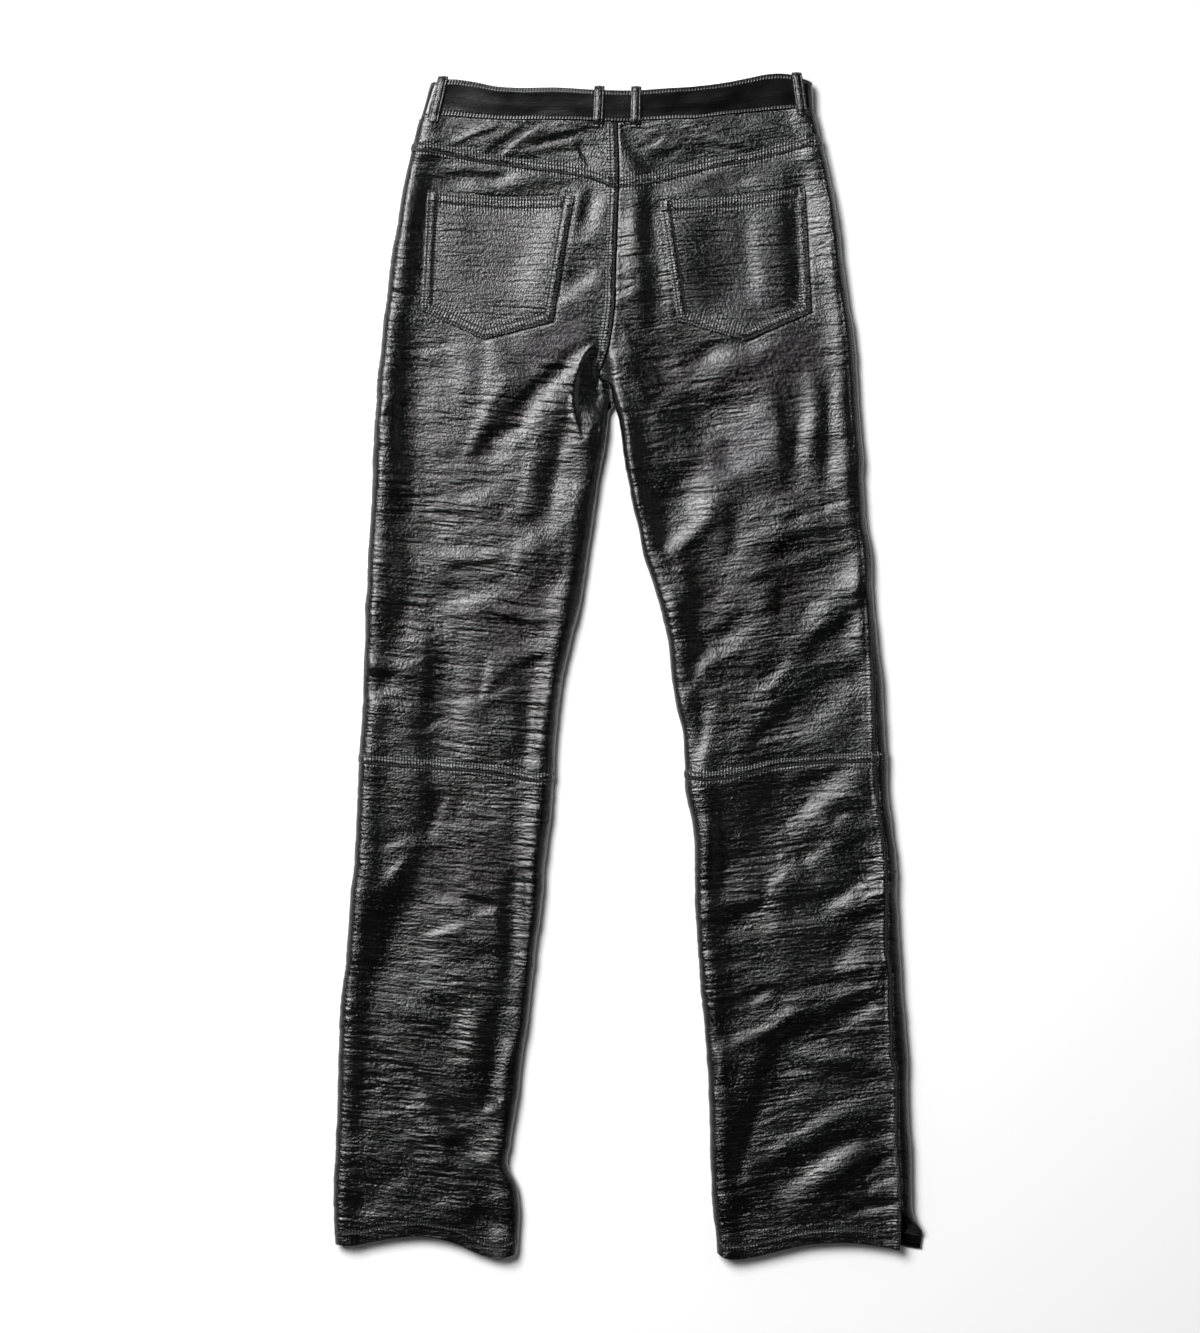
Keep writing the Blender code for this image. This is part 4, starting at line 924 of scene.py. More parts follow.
def fine_relief(half, face, place, down, x, depth):
    """What is added along the hide's normal: creases, lapped seams, stitch rows and puckers."""
    yoke, knee, hem = above_seams(half, face, x, down)
    start, stop = half.edges(face, down)
    to_side, to_centre = place - start, stop - place
    on_lap = np.zeros(np.shape(x))
    rise = np.zeros(np.shape(x))
    for distance, seed in ((yoke, 3), (knee, 5)):
        strip = lap(distance)
        rise = rise + strip + tuck(-distance)
        rise = rise + puckers(x, distance - LAP_WIDTH / 2, 5 * MM, half.seed + seed)
        on_lap = np.maximum(on_lap, np.clip(strip / LAP_RISE, 0, 1))
        for row in LAP_ROWS:
            rise = rise + groove(distance, row)
    above_crotch = down < CENTRE_STRIP_TO
    if face > 0 and half.side < 0:
        strip = lap(to_centre) * above_crotch * (1 - on_lap)
        rise = rise + strip + puckers(down, to_centre - LAP_WIDTH / 2, 4 * MM, 71) * above_crotch
        for row in LAP_ROWS:
            rise = rise + groove(to_centre, row) * above_crotch
        on_lap = np.maximum(on_lap, np.clip(strip / LAP_RISE, 0, 1))
    if face > 0 and half.side > 0:
        rise = rise + lap(to_side, SIDE_LAP_WIDTH, SIDE_LAP_RISE) + groove(to_side, SIDE_ROW)
        rise = rise + puckers(down, to_side, 5 * MM, 73) + tuck(to_centre) * above_crotch
    if face > 0:
        mouth, edge, _ = pocket_edges(half.name, x, down)
        rise = rise - POCKET_TUCK * bell(np.minimum(mouth, edge) + 1.2 * MM, 1.5 * MM)
    rise = rise + groove(hem, HEM_ROW) + puckers(x, hem - HEM_ROW, 7 * MM, 79)
    creases = crease_depth(half, face, place, down)
    calm = (1 - 0.8 * on_lap) * (1 - 0.75 * bell(hem, 9 * MM)) * (1 - 0.6 * bell(down - 60 * MM, 40 * MM))
    return rise + depth * creases * calm


def stitch_rows_on(half, face, place, down, x):
    """Every row of stitches on a face of a half: along it and the distance from it, at each point."""
    yoke, knee, hem = above_seams(half, face, x, down)
    rows = [(x, hem - HEM_ROW)] + [(x, seam_at - row) for seam_at in (yoke, knee) for row in LAP_ROWS]
    start, stop = half.edges(face, down)
    if face > 0 and half.side < 0:
        past_crotch = NO_STITCH * (down > CENTRE_STRIP_TO)
        rows += [(down, stop - place - row + past_crotch) for row in LAP_ROWS]
    if face > 0 and half.side > 0:
        rows += [(down, place - start - SIDE_ROW)]
    return rows


def nearest_stitches(rows):
    """Along and distance of the nearest row, as the last two columns of a piece's coordinates."""
    shape = np.broadcast(*[a for row in rows for a in row]).shape
    along = np.stack([np.broadcast_to(row[0], shape) for row in rows])
    away = np.stack([np.abs(np.broadcast_to(row[1], shape)) for row in rows])
    nearest = away.argmin(axis=0)[None]
    return np.stack([np.take_along_axis(a, nearest, 0)[0] for a in (along, away)], axis=-1)


def raised(points, out, rise):
    """Points moved along their normals by a relief, which fades where the hide turns down, to stay off
    the floor."""
    rise = np.where(rise > 0, rise * np.clip(1 + out[..., 2], 0, 1), rise)
    return points + out * rise[..., None]


def hide(half, face, place, down, depth):
    """Points of the dressed hide and its outward normals. The slopes of the smooth drape give the
    normal, and the relief goes along it."""
    here = hide_points(half, face, place, down)
    across = here - hide_points(half, face, place - PROBE, down)
    along = hide_points(half, face, place, down + PROBE) - here
    out = unit(half.side * face * np.cross(across, along))
    rise = fine_relief(half, face, place, down, here[..., 0] + GARMENT_MIDDLE_X, depth)
    return raised(here, out, rise), out


def seam(curve, shift=0.0):
    """A curved seam as a function of x."""
    return lambda x: follow(curve, x) + shift


def straight_seam(curve, shift=0.0):
    """A seam of straight runs as a function of x."""
    return lambda x: np.interp(x, curve["x"], curve["down"]) + shift


def band_seams(face):
    """The waistband's top and bottom, curved across the back and straight across the front."""
    if face > 0:
        return seam(BAND_TOP), seam(BAND_BOTTOM)
    return straight_seam(FRONT_BAND_TOP), straight_seam(FRONT_BAND_BOTTOM)


def columns(start, stop, finer, middle):
    """Places across a panel: even steps of about finer within EDGE_ZONE of each edge, and of about
    middle between."""
    count = int(EDGE_ZONE / finer)
    edge = np.linspace(0, EDGE_ZONE, count + 1)
    width = float(np.mean(stop - start)) - 2 * EDGE_ZONE
    share = np.linspace(0, 1, max(int(width / middle), 2) + 1)[1:-1]
    first, last = start + edge, stop - edge[::-1]
    return np.concatenate([first, first[:, -1:] + (last[:, :1] - first[:, -1:]) * share, last], axis=1)


EDGE_ROUND = 0.35 * MM
TO_GRID = SEAM_GAP / 2 + EDGE_ROUND  # from a seam's line to the first row of a panel's grid
CUT_EDGE = ((0.2, -0.08), (0.34, -0.4), (0.34, -0.9), (0.1, -1.2))
CUT_EDGES = (CUT_EDGE,) * 4
TURNED_HEM = ((0.25, -0.1), (0.35, -0.6), (0.35, -1.5), (-0.2, -2.2), (-6.0, -2.4), (-13.0, -2.4))
HEMMED_EDGES = (CUT_EDGE, TURNED_HEM, CUT_EDGE, CUT_EDGE)
POCKET_EDGE = ((0.3, -0.15), (0.45, -0.6), (0.45, -1.2), (0.3, -1.8))


def turned_edges(points, out, uv, profiles):
    """A grid with its edges turned down. Past each edge come the rows of its profile, in millimetres
    outwards and along the normal. profiles are for the top, bottom, first and last columns."""
    for axis, pair in ((0, profiles[:2]), (1, profiles[2:])):
        points, out, uv = (np.moveaxis(a, axis, 0) for a in (points, out, uv))
        before = unit(points[0] - points[1])
        after = unit(points[-1] - points[-2])
        head = [points[0] + (before * o + out[0] * n) * MM for o, n in pair[0]][::-1]
        tail = [points[-1] + (after * o + out[-1] * n) * MM for o, n in pair[1]]
        points = np.concatenate([np.array(head), points, np.array(tail)])
        pads = ((len(head), len(tail)), (0, 0), (0, 0))
        out, uv = np.pad(out, pads, "edge"), np.pad(uv, pads, "edge")
        points, out, uv = (np.moveaxis(a, 0, axis) for a in (points, out, uv))
    return points, out, uv


def mesh_piece(name, points, finish, uv=None, flip=False, wrap=False, caps=False):
    """A grid of points as a piece. wrap closes its columns into rings, and caps closes its two ends."""
    rows, across = points.shape[:2]
    index = np.arange(rows * across).reshape(rows, across)
    after = np.roll(index, -1, axis=1) if wrap else index[:, 1:]
    here = index if wrap else index[:, :-1]
    faces = np.stack([here[:-1], after[:-1], after[1:], here[1:]], axis=-1).reshape(-1, 4)
    if flip:
        faces = faces[:, ::-1]
    listed = faces.tolist()
    if caps:
        ends = [index[0, ::-1].tolist(), index[-1].tolist()]
        listed += [end[::-1] for end in ends] if flip else ends
    made = bpy.data.meshes.new(name)
    made.from_pydata(points.reshape(-1, 3).tolist(), [], listed)
    if uv is not None:
        corner = np.empty(len(made.loops), int)
        made.loops.foreach_get("vertex_index", corner)
        flat = uv.reshape(-1, uv.shape[-1])
        if flat.shape[1] == 2:
            flat = np.concatenate([flat, np.full(flat.shape, NO_STITCH)], axis=1)
        for map_name, first in (("hide", 0), ("stitches", 2)):
            layer = made.uv_layers.new(name=map_name)
            layer.data.foreach_set("uv", flat[corner, first:first + 2].ravel())
    made.shade_smooth()
    made.materials.append(finish)
    return show(name, made)


def show(name, made):
    """Puts a mesh in the scene as an object at the origin that moves with the garment."""
    piece = bpy.data.objects.new(name, made)
    bpy.context.scene.collection.objects.link(piece)
    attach(piece, BODY)
    return piece


def cloth(node):
    """Hides the imported solid of one node, which a piece of hide takes the place of."""
    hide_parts(node)


def hide_panel(kind, half, face, stages, profiles, grid):
    """A half's panel of hide, of a kind, over the panel of another kind or the floor. Each stage is an
    upper and a lower seam and about how far apart they are, and its rows share out the way between
    them. grid is the spacing of its rows and of its columns near the edges and in the middle. Seams
    depend on x, and x on down through the outline, so the two settle in turn."""
    row, finer, middle = grid
    shares = [np.linspace(0, 1, max(int(length / row), 2) + 1) for _, _, length in stages]
    shares = [share if i == 0 else share[1:] for i, share in enumerate(shares)]
    rows = sum(len(share) for share in shares)
    x = half.side * FIRST_GUESS_X * np.ones((rows, 1))
    for _ in range(SETTLING_ROUNDS):
        parts = []
        ahead = 0
        for (upper, lower, _), share in zip(stages, shares):
            at = x[ahead:ahead + len(share)]
            ahead += len(share)
            parts.append(upper(at) + (lower(at) - upper(at)) * share[:, None])
        down = np.concatenate(parts)
        start, stop = half.edges(face, down)
        place = columns(start[:, :1] + EDGE_ROUND, stop[:, -1:] - EDGE_ROUND, finer, middle)
        if down.shape[1] != place.shape[1]:
            down = down[:, :1] + np.zeros(place.shape)
        x, _ = hide_x(half, face, place, down)
    points, out = hide(half, face, place, down, bpy.context.scene.trouser_sizes.crease_depth)
    uv = np.stack([face * place, down - LEG_LEAN * place], axis=-1) + PANEL_CUT_AT
    uv = np.concatenate([uv, nearest_stitches(stitch_rows_on(half, face, place, down, x))], axis=-1)
    points, out, uv = turned_edges(points, out, uv, profiles)
    node = kind + half.name
    finish = finish_named("glazed_black_cowhide")
    piece = mesh_piece(node + "_hide", points, finish, uv, flip=half.side * face < 0)
    cloth(node)


def srgb(code):
    """A hex colour as linear red, green, blue and 1."""
    channels = [int(code[i:i + 2], 16) / 255 for i in (1, 3, 5)]
    return tuple(c / 12.92 if c <= 0.04045 else ((c + 0.055) / 1.055) ** 2.4 for c in channels) + (1.0,)


def add_node(tree, kind, settings=None, inputs=None, links=None):
    """Adds a node with its settings, input values and links, and returns it."""
    made = tree.nodes.new(kind)
    for name, value in (settings or {}).items():
        setattr(made, name, value)
    for name, value in (inputs or {}).items():
        made.inputs[name].default_value = value
    for name, output in (links or {}).items():
        tree.links.new(output, made.inputs[name])
    return made


def new_material(name, colour, roughness, metallic=0.0):
    """A material with its Principled shader, and the two."""
    made = bpy.data.materials.new(name)
    made.use_nodes = True
    shader = made.node_tree.nodes["Principled BSDF"]
    shader.inputs["Base Color"].default_value = colour
    shader.inputs["Roughness"].default_value = roughness
    shader.inputs["Metallic"].default_value = metallic
    return made, made.node_tree, shader


def math_node(tree, operation, *values):
    """A Math node; each value is a number or an output to link."""
    made = add_node(tree, "ShaderNodeMath", {"operation": operation})
    for socket, value in zip(made.inputs, values):
        if isinstance(value, bpy.types.NodeSocket):
            tree.links.new(value, socket)
        else:
            socket.default_value = value
    return made.outputs["Value"]


def bumped(tree, height, strength, distance, below=None):
    """A bump over another one's normal, or over the plain surface."""
    links = {"Height": height} | ({"Normal": below} if below else {})
    bump = add_node(tree, "ShaderNodeBump", inputs={"Strength": strength, "Distance": distance}, links=links)
    return bump.outputs["Normal"]


def spread(tree, value, taken, given):
    """A value, with one span of it spread over another span."""
    spans = {"From Min": taken[0], "From Max": taken[1], "To Min": given[0], "To Max": given[1]}
    return add_node(tree, "ShaderNodeMapRange", inputs=spans, links={"Value": value}).outputs["Result"]


def stitched_bump(tree, below, gather):
    """Stitch holes and the swells between them, as a bump over another one, and how much of a point is
    a hole: from the map stitches, whose U runs along the nearest row and whose V is the distance from
    it, in metres. A hole lies half a pitch past each stitch's middle. gather is how much the hide is
    drawn in between two rows."""
    uv = add_node(tree, "ShaderNodeUVMap", {"uv_map": "stitches"})
    parts = add_node(tree, "ShaderNodeSeparateXYZ", links={"Vector": uv.outputs["UV"]})
    along, away = parts.outputs["X"], parts.outputs["Y"]
    turn = math_node(tree, "COSINE", math_node(tree, "MULTIPLY", along, 2 * math.pi / STITCH_PITCH))
    square = math_node(tree, "POWER", math_node(tree, "DIVIDE", away, HOLE_WIDTH), 2.0)
    near = math_node(tree, "EXPONENT", math_node(tree, "MULTIPLY", square, -1.0))
    wide = math_node(tree, "EXPONENT", math_node(tree, "DIVIDE", away, -GATHER_WIDTH))
    # between two holes the hide swells up; along the row as a whole it is drawn down
    dotted = math_node(tree, "MULTIPLY", near, math_node(tree, "MULTIPLY_ADD", turn, 0.25, -0.05))
    gathered = math_node(tree, "MULTIPLY", wide, math_node(tree, "MULTIPLY", turn, gather))
    height = math_node(tree, "ADD", dotted, gathered)
    normal = bumped(tree, height, 1.0, STITCH_RELIEF, below)
    sunk = math_node(tree, "MULTIPLY", near, math_node(tree, "MULTIPLY", turn, -1.0))
    return normal, spread(tree, sunk, (0.2, 0.5), (0.0, 1.0))


def leather_material(name, colour, roughness, grain):
    """Cowhide, drum dyed black, waxed and glazed: a fine fibrous grain that breaks up a soft gloss."""
    made, tree, shader = new_material(name, colour, roughness)
    shader.inputs["IOR"].default_value = 1.62
    uv = add_node(tree, "ShaderNodeUVMap", {"uv_map": "hide"})
    metres = {"Vector": uv.outputs["UV"]}
    # fibres 2.1 mm apart with finer ones among them, drawn out along the creases
    stretch = add_node(tree, "ShaderNodeMapping", inputs={"Scale": (0.6, 1.0, 1.0)}, links=metres)
    fibres = add_node(tree, "ShaderNodeTexNoise",
                      inputs={"Scale": 480.0, "Detail": 3.0, "Roughness": 0.65, "Distortion": 0.8},
                      links={"Vector": stretch.outputs["Vector"]})
    # pores 1.8 mm apart
    pebbles = add_node(tree, "ShaderNodeTexVoronoi", {"feature": "F1"},
                       inputs={"Scale": 560.0, "Randomness": 1.0}, links=metres)
    # fine creases 4 mm apart and about 25 mm long
    drawn = add_node(tree, "ShaderNodeMapping", inputs={"Scale": (0.14, 1.0, 1.0)}, links=metres)
    hair = add_node(tree, "ShaderNodeTexNoise",
                    inputs={"Scale": 260.0, "Detail": 3.0, "Roughness": 0.6, "Distortion": 0.4},
                    links={"Vector": drawn.outputs["Vector"]})
    normal = None
    for height, share, distance in (
        (fibres.outputs["Fac"], 1.0, 0.38 * MM), (pebbles.outputs["Distance"], 0.6, 0.34 * MM),
        (hair.outputs["Fac"], 0.7, 1.1 * MM),
    ):
        normal = bumped(tree, height, min(grain * share, 1), distance, normal)
    # the stiffer a hide, the finer its grain and the less its stitches gather it
    stitched, hole = stitched_bump(tree, normal, GATHER * grain)
    tree.links.new(stitched, shader.inputs["Normal"])
    # wax polishes the high spots, and leaves the rest a little duller
    patches = add_node(tree, "ShaderNodeTexNoise", inputs={"Scale": 22.0, "Detail": 4.0, "Roughness": 0.6},
                       links=metres)
    gloss = spread(tree, patches.outputs["Fac"], (0.3, 0.7), (roughness - 0.04, roughness + 0.05))
    # a stitch's hole shows matt thread
    dull = math_node(tree, "MULTIPLY_ADD", hole, 0.6, gloss)
    tree.links.new(dull, shader.inputs["Roughness"])
    return made


def finish_named(name):
    """A material made earlier in this run, or a fresh one of that name."""
    if name in bpy.data.materials:
        return bpy.data.materials[name]
    chosen = bpy.context.scene.trouser_colours
    hide_black, black, brass = (tuple(c) + (1.0,) for c in (chosen.leather, chosen.thread, chosen.brass))
    if name == "glazed_black_cowhide":
        return leather_material(name, hide_black, chosen.roughness, chosen.grain)
    if name == "smooth_black_strap_leather":
        # the waistband's stiff hide, with a finer grain and a harder gloss than the legs
        return leather_material(name, hide_black, chosen.roughness * 0.9, chosen.grain * 0.15)
    if name == "waxed_black_thread":
        return ribbed_material(name, black, 0.5, "DIAGONAL", THREAD_TWIST)
    if name == "black_zip_tape":
        return ribbed_material(name, black, 0.8, "X", TAPE_RIBS)
    if name == "dark_brass":
        return brass_material(name, brass)
    raise ValueError("no finish is called " + name)


def ribbed_material(name, colour, roughness, direction, ribs):
    """Polyester with fine ribs across it: waxed thread's slanting twist, or a woven tape's."""
    made, tree, shader = new_material(name, colour, roughness)
    scale, stray, strength, height = ribs
    place = add_node(tree, "ShaderNodeTexCoord")
    waves = add_node(tree, "ShaderNodeTexWave", {"bands_direction": direction},
                     inputs={"Scale": scale, "Distortion": stray}, links={"Vector": place.outputs["Object"]})
    tree.links.new(bumped(tree, waves.outputs["Fac"], strength, height), shader.inputs["Normal"])
    return made


def brass_material(name, colour):
    """Brass, turned and blackened: dull metal with a fine tarnish."""
    made, tree, shader = new_material(name, colour, 0.38, 1.0)
    place = add_node(tree, "ShaderNodeTexCoord")
    tarnish = add_node(tree, "ShaderNodeTexNoise", inputs={"Scale": 400.0, "Detail": 4.0},
                       links={"Vector": place.outputs["Object"]})
    tree.links.new(spread(tree, tarnish.outputs["Fac"], (0.3, 0.7), (0.3, 0.5)), shader.inputs["Roughness"])
    return made


def run_length(points):
    """How far along a line of points each one lies."""
    return np.append(0, np.cumsum(np.linalg.norm(np.diff(points, axis=0), axis=-1)))


def evenly(along, pitch):
    """Places in a list of rising or falling distances where they are whole pitches."""
    order = np.arange(len(along))
    if along[-1] < along[0]:
        along, order = along[::-1], order[::-1]
    # a stitch that would stick out past either end is left out
    clear = 0.4
    whole = np.arange(math.ceil(along[0] / pitch + clear), math.floor(along[-1] / pitch - clear) + 1)
    return np.interp(whole * pitch, along, order)


def sampled(values, at):
    """A line's points or vectors at places between its steps."""
    steps = np.arange(len(values))
    return np.stack([np.interp(at, steps, values[:, k]) for k in range(3)], axis=-1)


def stitch_rows(name, rows, radius=THREAD_RADIUS):
    """Rows of stitches as one piece. Each row is (points, normals, distances along). A stitch is a
    short thread with four sides, low at its two ends where it goes into the hide."""
    corners = np.arange(4) * math.pi / 2 + math.pi / 4
    index = np.arange(len(STITCH_SHAPE) * len(corners)).reshape(len(STITCH_SHAPE), -1)
    turned = np.roll(index, -1, axis=1)
    sides = np.stack([index[:-1], turned[:-1], turned[1:], index[1:]], axis=-1).reshape(-1, 4)
    one_stitch = np.concatenate([sides, index[:1, ::-1], index[-1:]])
    verts, faces, base = [], [], 0
    for points, out, gone in rows:
        at = evenly(gone, STITCH_PITCH)
        middle, normal, along = (sampled(values, at) for values in (points, out, np.gradient(points, axis=0)))
        along = unit(along)
        side = unit(np.cross(normal, along))
        row = np.stack([
            middle + along * t * STITCH_LENGTH + normal * lift * radius
            + (side * math.cos(corner) + normal * math.sin(corner)) * radius * girth
            for t, lift, girth in STITCH_SHAPE for corner in corners
        ], axis=1)
        verts.append(row.reshape(-1, 3))
        starts = base + np.arange(len(row)) * index.size
        faces.append((starts[:, None, None] + one_stitch).reshape(-1, 4))
        base += len(verts[-1])
    made = bpy.data.meshes.new(name)
    made.from_pydata(np.concatenate(verts).tolist(), [], np.concatenate(faces).tolist())
    made.shade_smooth()
    made.materials.append(finish_named("waxed_black_thread"))
    show(name, made)


def row_on_hide(half, face, place, down, gone):
    """A line of stitches on the hide, as points, normals and distances along."""
    return hide(half, face, place, down, bpy.context.scene.trouser_sizes.crease_depth) + (gone,)


def row_above_seam(half, face, line, above):
    """A row of stitches that keeps a distance above a seam, right across a panel."""
    share = np.linspace(0, 1, 400)
    down = line(np.full(share.shape, half.side * FIRST_GUESS_X)) - above
    for _ in range(SETTLING_ROUNDS):
        start, stop = half.edges(face, down)
        place = start + ROW_CLEAR + (stop - start - 2 * ROW_CLEAR) * share
        x, _ = hide_x(half, face, place, down)
        down = line(x) - above
    return row_on_hide(half, face, place, down, x)


def band_points(side, face, place, down):
    """Points on the waistband's outer face, from how far along it they lie past the outline."""
    outline = HALVES[side].outer_x(down)
    turn = np.clip(place / quarter(BAND_ROLL_RADIUS), -1, 1) * math.pi / 2
    past = np.maximum(np.abs(place) - quarter(BAND_ROLL_RADIUS), 0)
    x = outline - HALVES[side].side * (BAND_ROLL_RADIUS * (1 - np.cos(turn)) + past)
    height = FRONT_BAND_LIFT + (BAND_HEIGHT - FRONT_BAND_LIFT) * (1 + face * np.sin(turn)) / 2
    if side == "right" and face < 0:
        over = ease((BAND_STEP_FROM - x) / BAND_STEP_LENGTH)
        height = height + over * (BAND_THICKNESS + SEAM_GAP)
    return placed(x, down, height)


def band_grid(side, face, past_centre, count, drop):
    """Points and normals of a quarter of the waistband, from its side to the centre. drop is how far
    below the band's top each row lies, as a share of its height."""
    top, bottom = band_seams(face)
    sign = HALVES[side].side
    share = np.linspace(0, 1, count)
    x = sign * np.linspace(190, 0, count) * MM * np.ones((len(drop), 1))
    for _ in range(SETTLING_ROUNDS):
        down = top(x) + (bottom(x) - SEAM_GAP / 2 - top(x)) * drop[:, None]
        flat = np.abs(HALVES[side].outer_x(down)) - BAND_ROLL_RADIUS
        place = (flat + quarter(BAND_ROLL_RADIUS) + past_centre) * share
        points = band_points(side, face, place, down)
        x = points[..., 0] + GARMENT_MIDDLE_X
    across = points - band_points(side, face, place - PROBE, down)
    along = band_points(side, face, place, down + PROBE) - points
    out = unit(sign * face * np.cross(across, along))
    return points, out, x


def band_relief(x, drop):
    """The waistband's relief: its stitch grooves, a soft fold along its lower third, and slow waves."""
    depth = drop * BAND_WIDTH
    rise = sum(groove(depth, row) for row in BAND_ROWS)
    fold = -0.12 * MM * ease((depth - 17 * MM) / (6 * MM)) + 0.12 * MM * ease((depth - 23 * MM) / (7 * MM))
    waves = uneven(x, depth, 46 * MM, 15 * MM, 91) + 0.5 * uneven(x, depth, 17 * MM, 9 * MM, 92)
    edge = bell(depth, 3 * MM) + bell(BAND_WIDTH - depth, 3 * MM)
    rise = rise + BAND_TILT * (0.5 - drop)
    from_row = np.minimum(*(np.abs(depth - row) for row in BAND_ROWS))
    gathers = puckers(x, from_row, 2 * MM, 93)
    return rise + (fold + 0.6 * MM * waves) * (1 - np.clip(edge, 0, 1)) + 0.15 * gathers


def waistband_rings():
    """The waistband's outer points and normals, and its rows' drops, all the way round from its left
    end, which laps under the right end, over the left side, the back and the right side."""
    drop = np.linspace(0, 1, 27)
    quarters = []
    for side, face, past, count, outwards in (
        ("left", -1, BAND_PAST_CENTRE, 90, False), ("left", 1, 0.0, 110, True),
        ("right", 1, 0.0, 110, False), ("right", -1, BAND_PAST_CENTRE, 90, True),
    ):
        points, out, x = band_grid(side, face, past, count, drop)
        dressed = raised(points, out, band_relief(x, drop[:, None]))
        quarters.append([a if outwards else a[:, ::-1] for a in (dressed, out)])
    return [
        np.concatenate([quarters[0][k]] + [q[k][:, 1:] for q in quarters[1:]], axis=1) for k in range(2)
    ] + [drop]


# ---- loops, pockets and small parts ----


def loop_path(face, x_top, x_foot):
    """The line of a belt loop's inner face: from its foot below the waistband, over the band's outer
    face and top edge, to its tail inside. Columns are down and height."""
    half = HALVES["left" if x_top < 0 else "right"]
    top, bottom = band_seams(face)
    head, foot = top(x_top), bottom(x_foot)
    band = BAND_HEIGHT if face > 0 else -FRONT_BAND_LIFT
    low = foot + 4 * MM
    x_low = x_top + (x_foot - x_top) * (low - head) / (foot - head)
    sewn = (half.skin(x_low, low) if face > 0 else -half.ground(x_low, low)) + 0.5 * MM
    over, under = band + 1.8 * MM, band - BAND_THICKNESS - 1.3 * MM
    knots = np.array([
        (low + 2 * MM, sewn), (low - 1 * MM, sewn + 0.1 * MM), (foot + 0.5 * MM, over - 0.4 * MM),
        (foot - 5 * MM, over), (foot - 14 * MM, over + 0.2 * MM), (head + 9 * MM, over),
        (head + 1 * MM, over - 0.2 * MM), (head - 2.2 * MM, over - 1.4 * MM),
        (head - 3.0 * MM, band - BAND_THICKNESS / 2), (head - 2.2 * MM, under + 0.5 * MM),
        (head - 0.3 * MM, under), (head + 6 * MM, under),
    ], float)
    gone = run_length(knots)
    at = np.linspace(0, gone[-1], 90)
    path = np.stack([smooth(at, gone, knots[:, k]) for k in range(2)], axis=-1)
    return path, head, foot


def belt_loop(name, face, x_top, x_foot):
    """A belt loop: a strip folded in three with two stitched rows, its rounded section carried along
    its path. The section is a slot shape, with a shallow groove along each row."""
    path, head, foot = loop_path(face, x_top, x_foot)
    step = np.gradient(path, axis=0)
    out = unit(np.stack([step[:, 1], -step[:, 0]], axis=-1))
    line = path[:, None, :] + out[:, None, :] * LOOP_SECTION["height"][None, :, None]
    lean = (x_foot - x_top) * (line[..., 0] - head) / (foot - head)
    x = x_top + lean + LOOP_SECTION["across"]
    points = placed(x, line[..., 0], face * line[..., 1])
    # its first and last rings are a little smaller, as soft ends
    ends = 0.25 * np.minimum(np.arange(len(path)), np.arange(len(path))[::-1])[:, None, None]
    middle = points.mean(axis=1, keepdims=True)
    points = middle + (points - middle) * np.clip(0.72 + ends, 0, 1)
    uv = together(x, line[..., 0]) + LOOP_CUT_AT
    finish = finish_named("glazed_black_cowhide")
    piece = mesh_piece(name, points, finish, uv, flip=face > 0, wrap=True, caps=True)
    rows = []
    sewn = slice(6, 66)
    at = path[sewn] + out[sewn] * LOOP_ROW_HEIGHT
    for edge in (-LOOP_ROW, LOOP_ROW):
        xs = x_top + (x_foot - x_top) * (at[:, 0] - head) / (foot - head) + edge
        up = together(0.0, -out[sewn, 0], face * out[sewn, 1])
        rows.append((placed(xs, at[:, 0], face * at[:, 1]), unit(up), run_length(at)))
    return piece, rows


def pocket_shape(side):
    """A pocket's corners and sag in metres."""
    *corners, sag = POCKETS[side]
    return [np.array(corner) * MM for corner in corners], sag * MM


def sagged(share, sag):
    """How far a mouth hangs below its two ends, at a share of the way between them."""
    return sag * 4 * share * (1 - share)


def pocket_edges(side, x, down):
    """Distances in from a pocket's mouth and from the nearest of its four other edges, and how far
    along that edge."""
    (top_out, top_in, low_in, tip, low_out), sag = pocket_shape(side)
    share = np.clip((x - top_out[0]) / (top_in[0] - top_out[0]), 0, 1)
    mouth = down - (top_out[1] + (top_in[1] - top_out[1]) * share + sagged(share, sag))
    middle = (top_out + top_in + low_in + tip + low_out) / 5
    nearest, along = np.full(np.shape(x), 1.0), np.zeros(np.shape(x))
    for a, b in ((top_out, low_out), (low_out, tip), (tip, low_in), (low_in, top_in)):
        line = (b - a) / np.linalg.norm(b - a)
        inwards = np.sign((middle[0] - a[0]) * line[1] - (middle[1] - a[1]) * line[0])
        away = ((x - a[0]) * line[1] - (down - a[1]) * line[0]) * inwards
        along = np.where(away < nearest, (x - a[0]) * line[0] + (down - a[1]) * line[1], along)
        nearest = np.minimum(nearest, away)
    return mouth, nearest, along


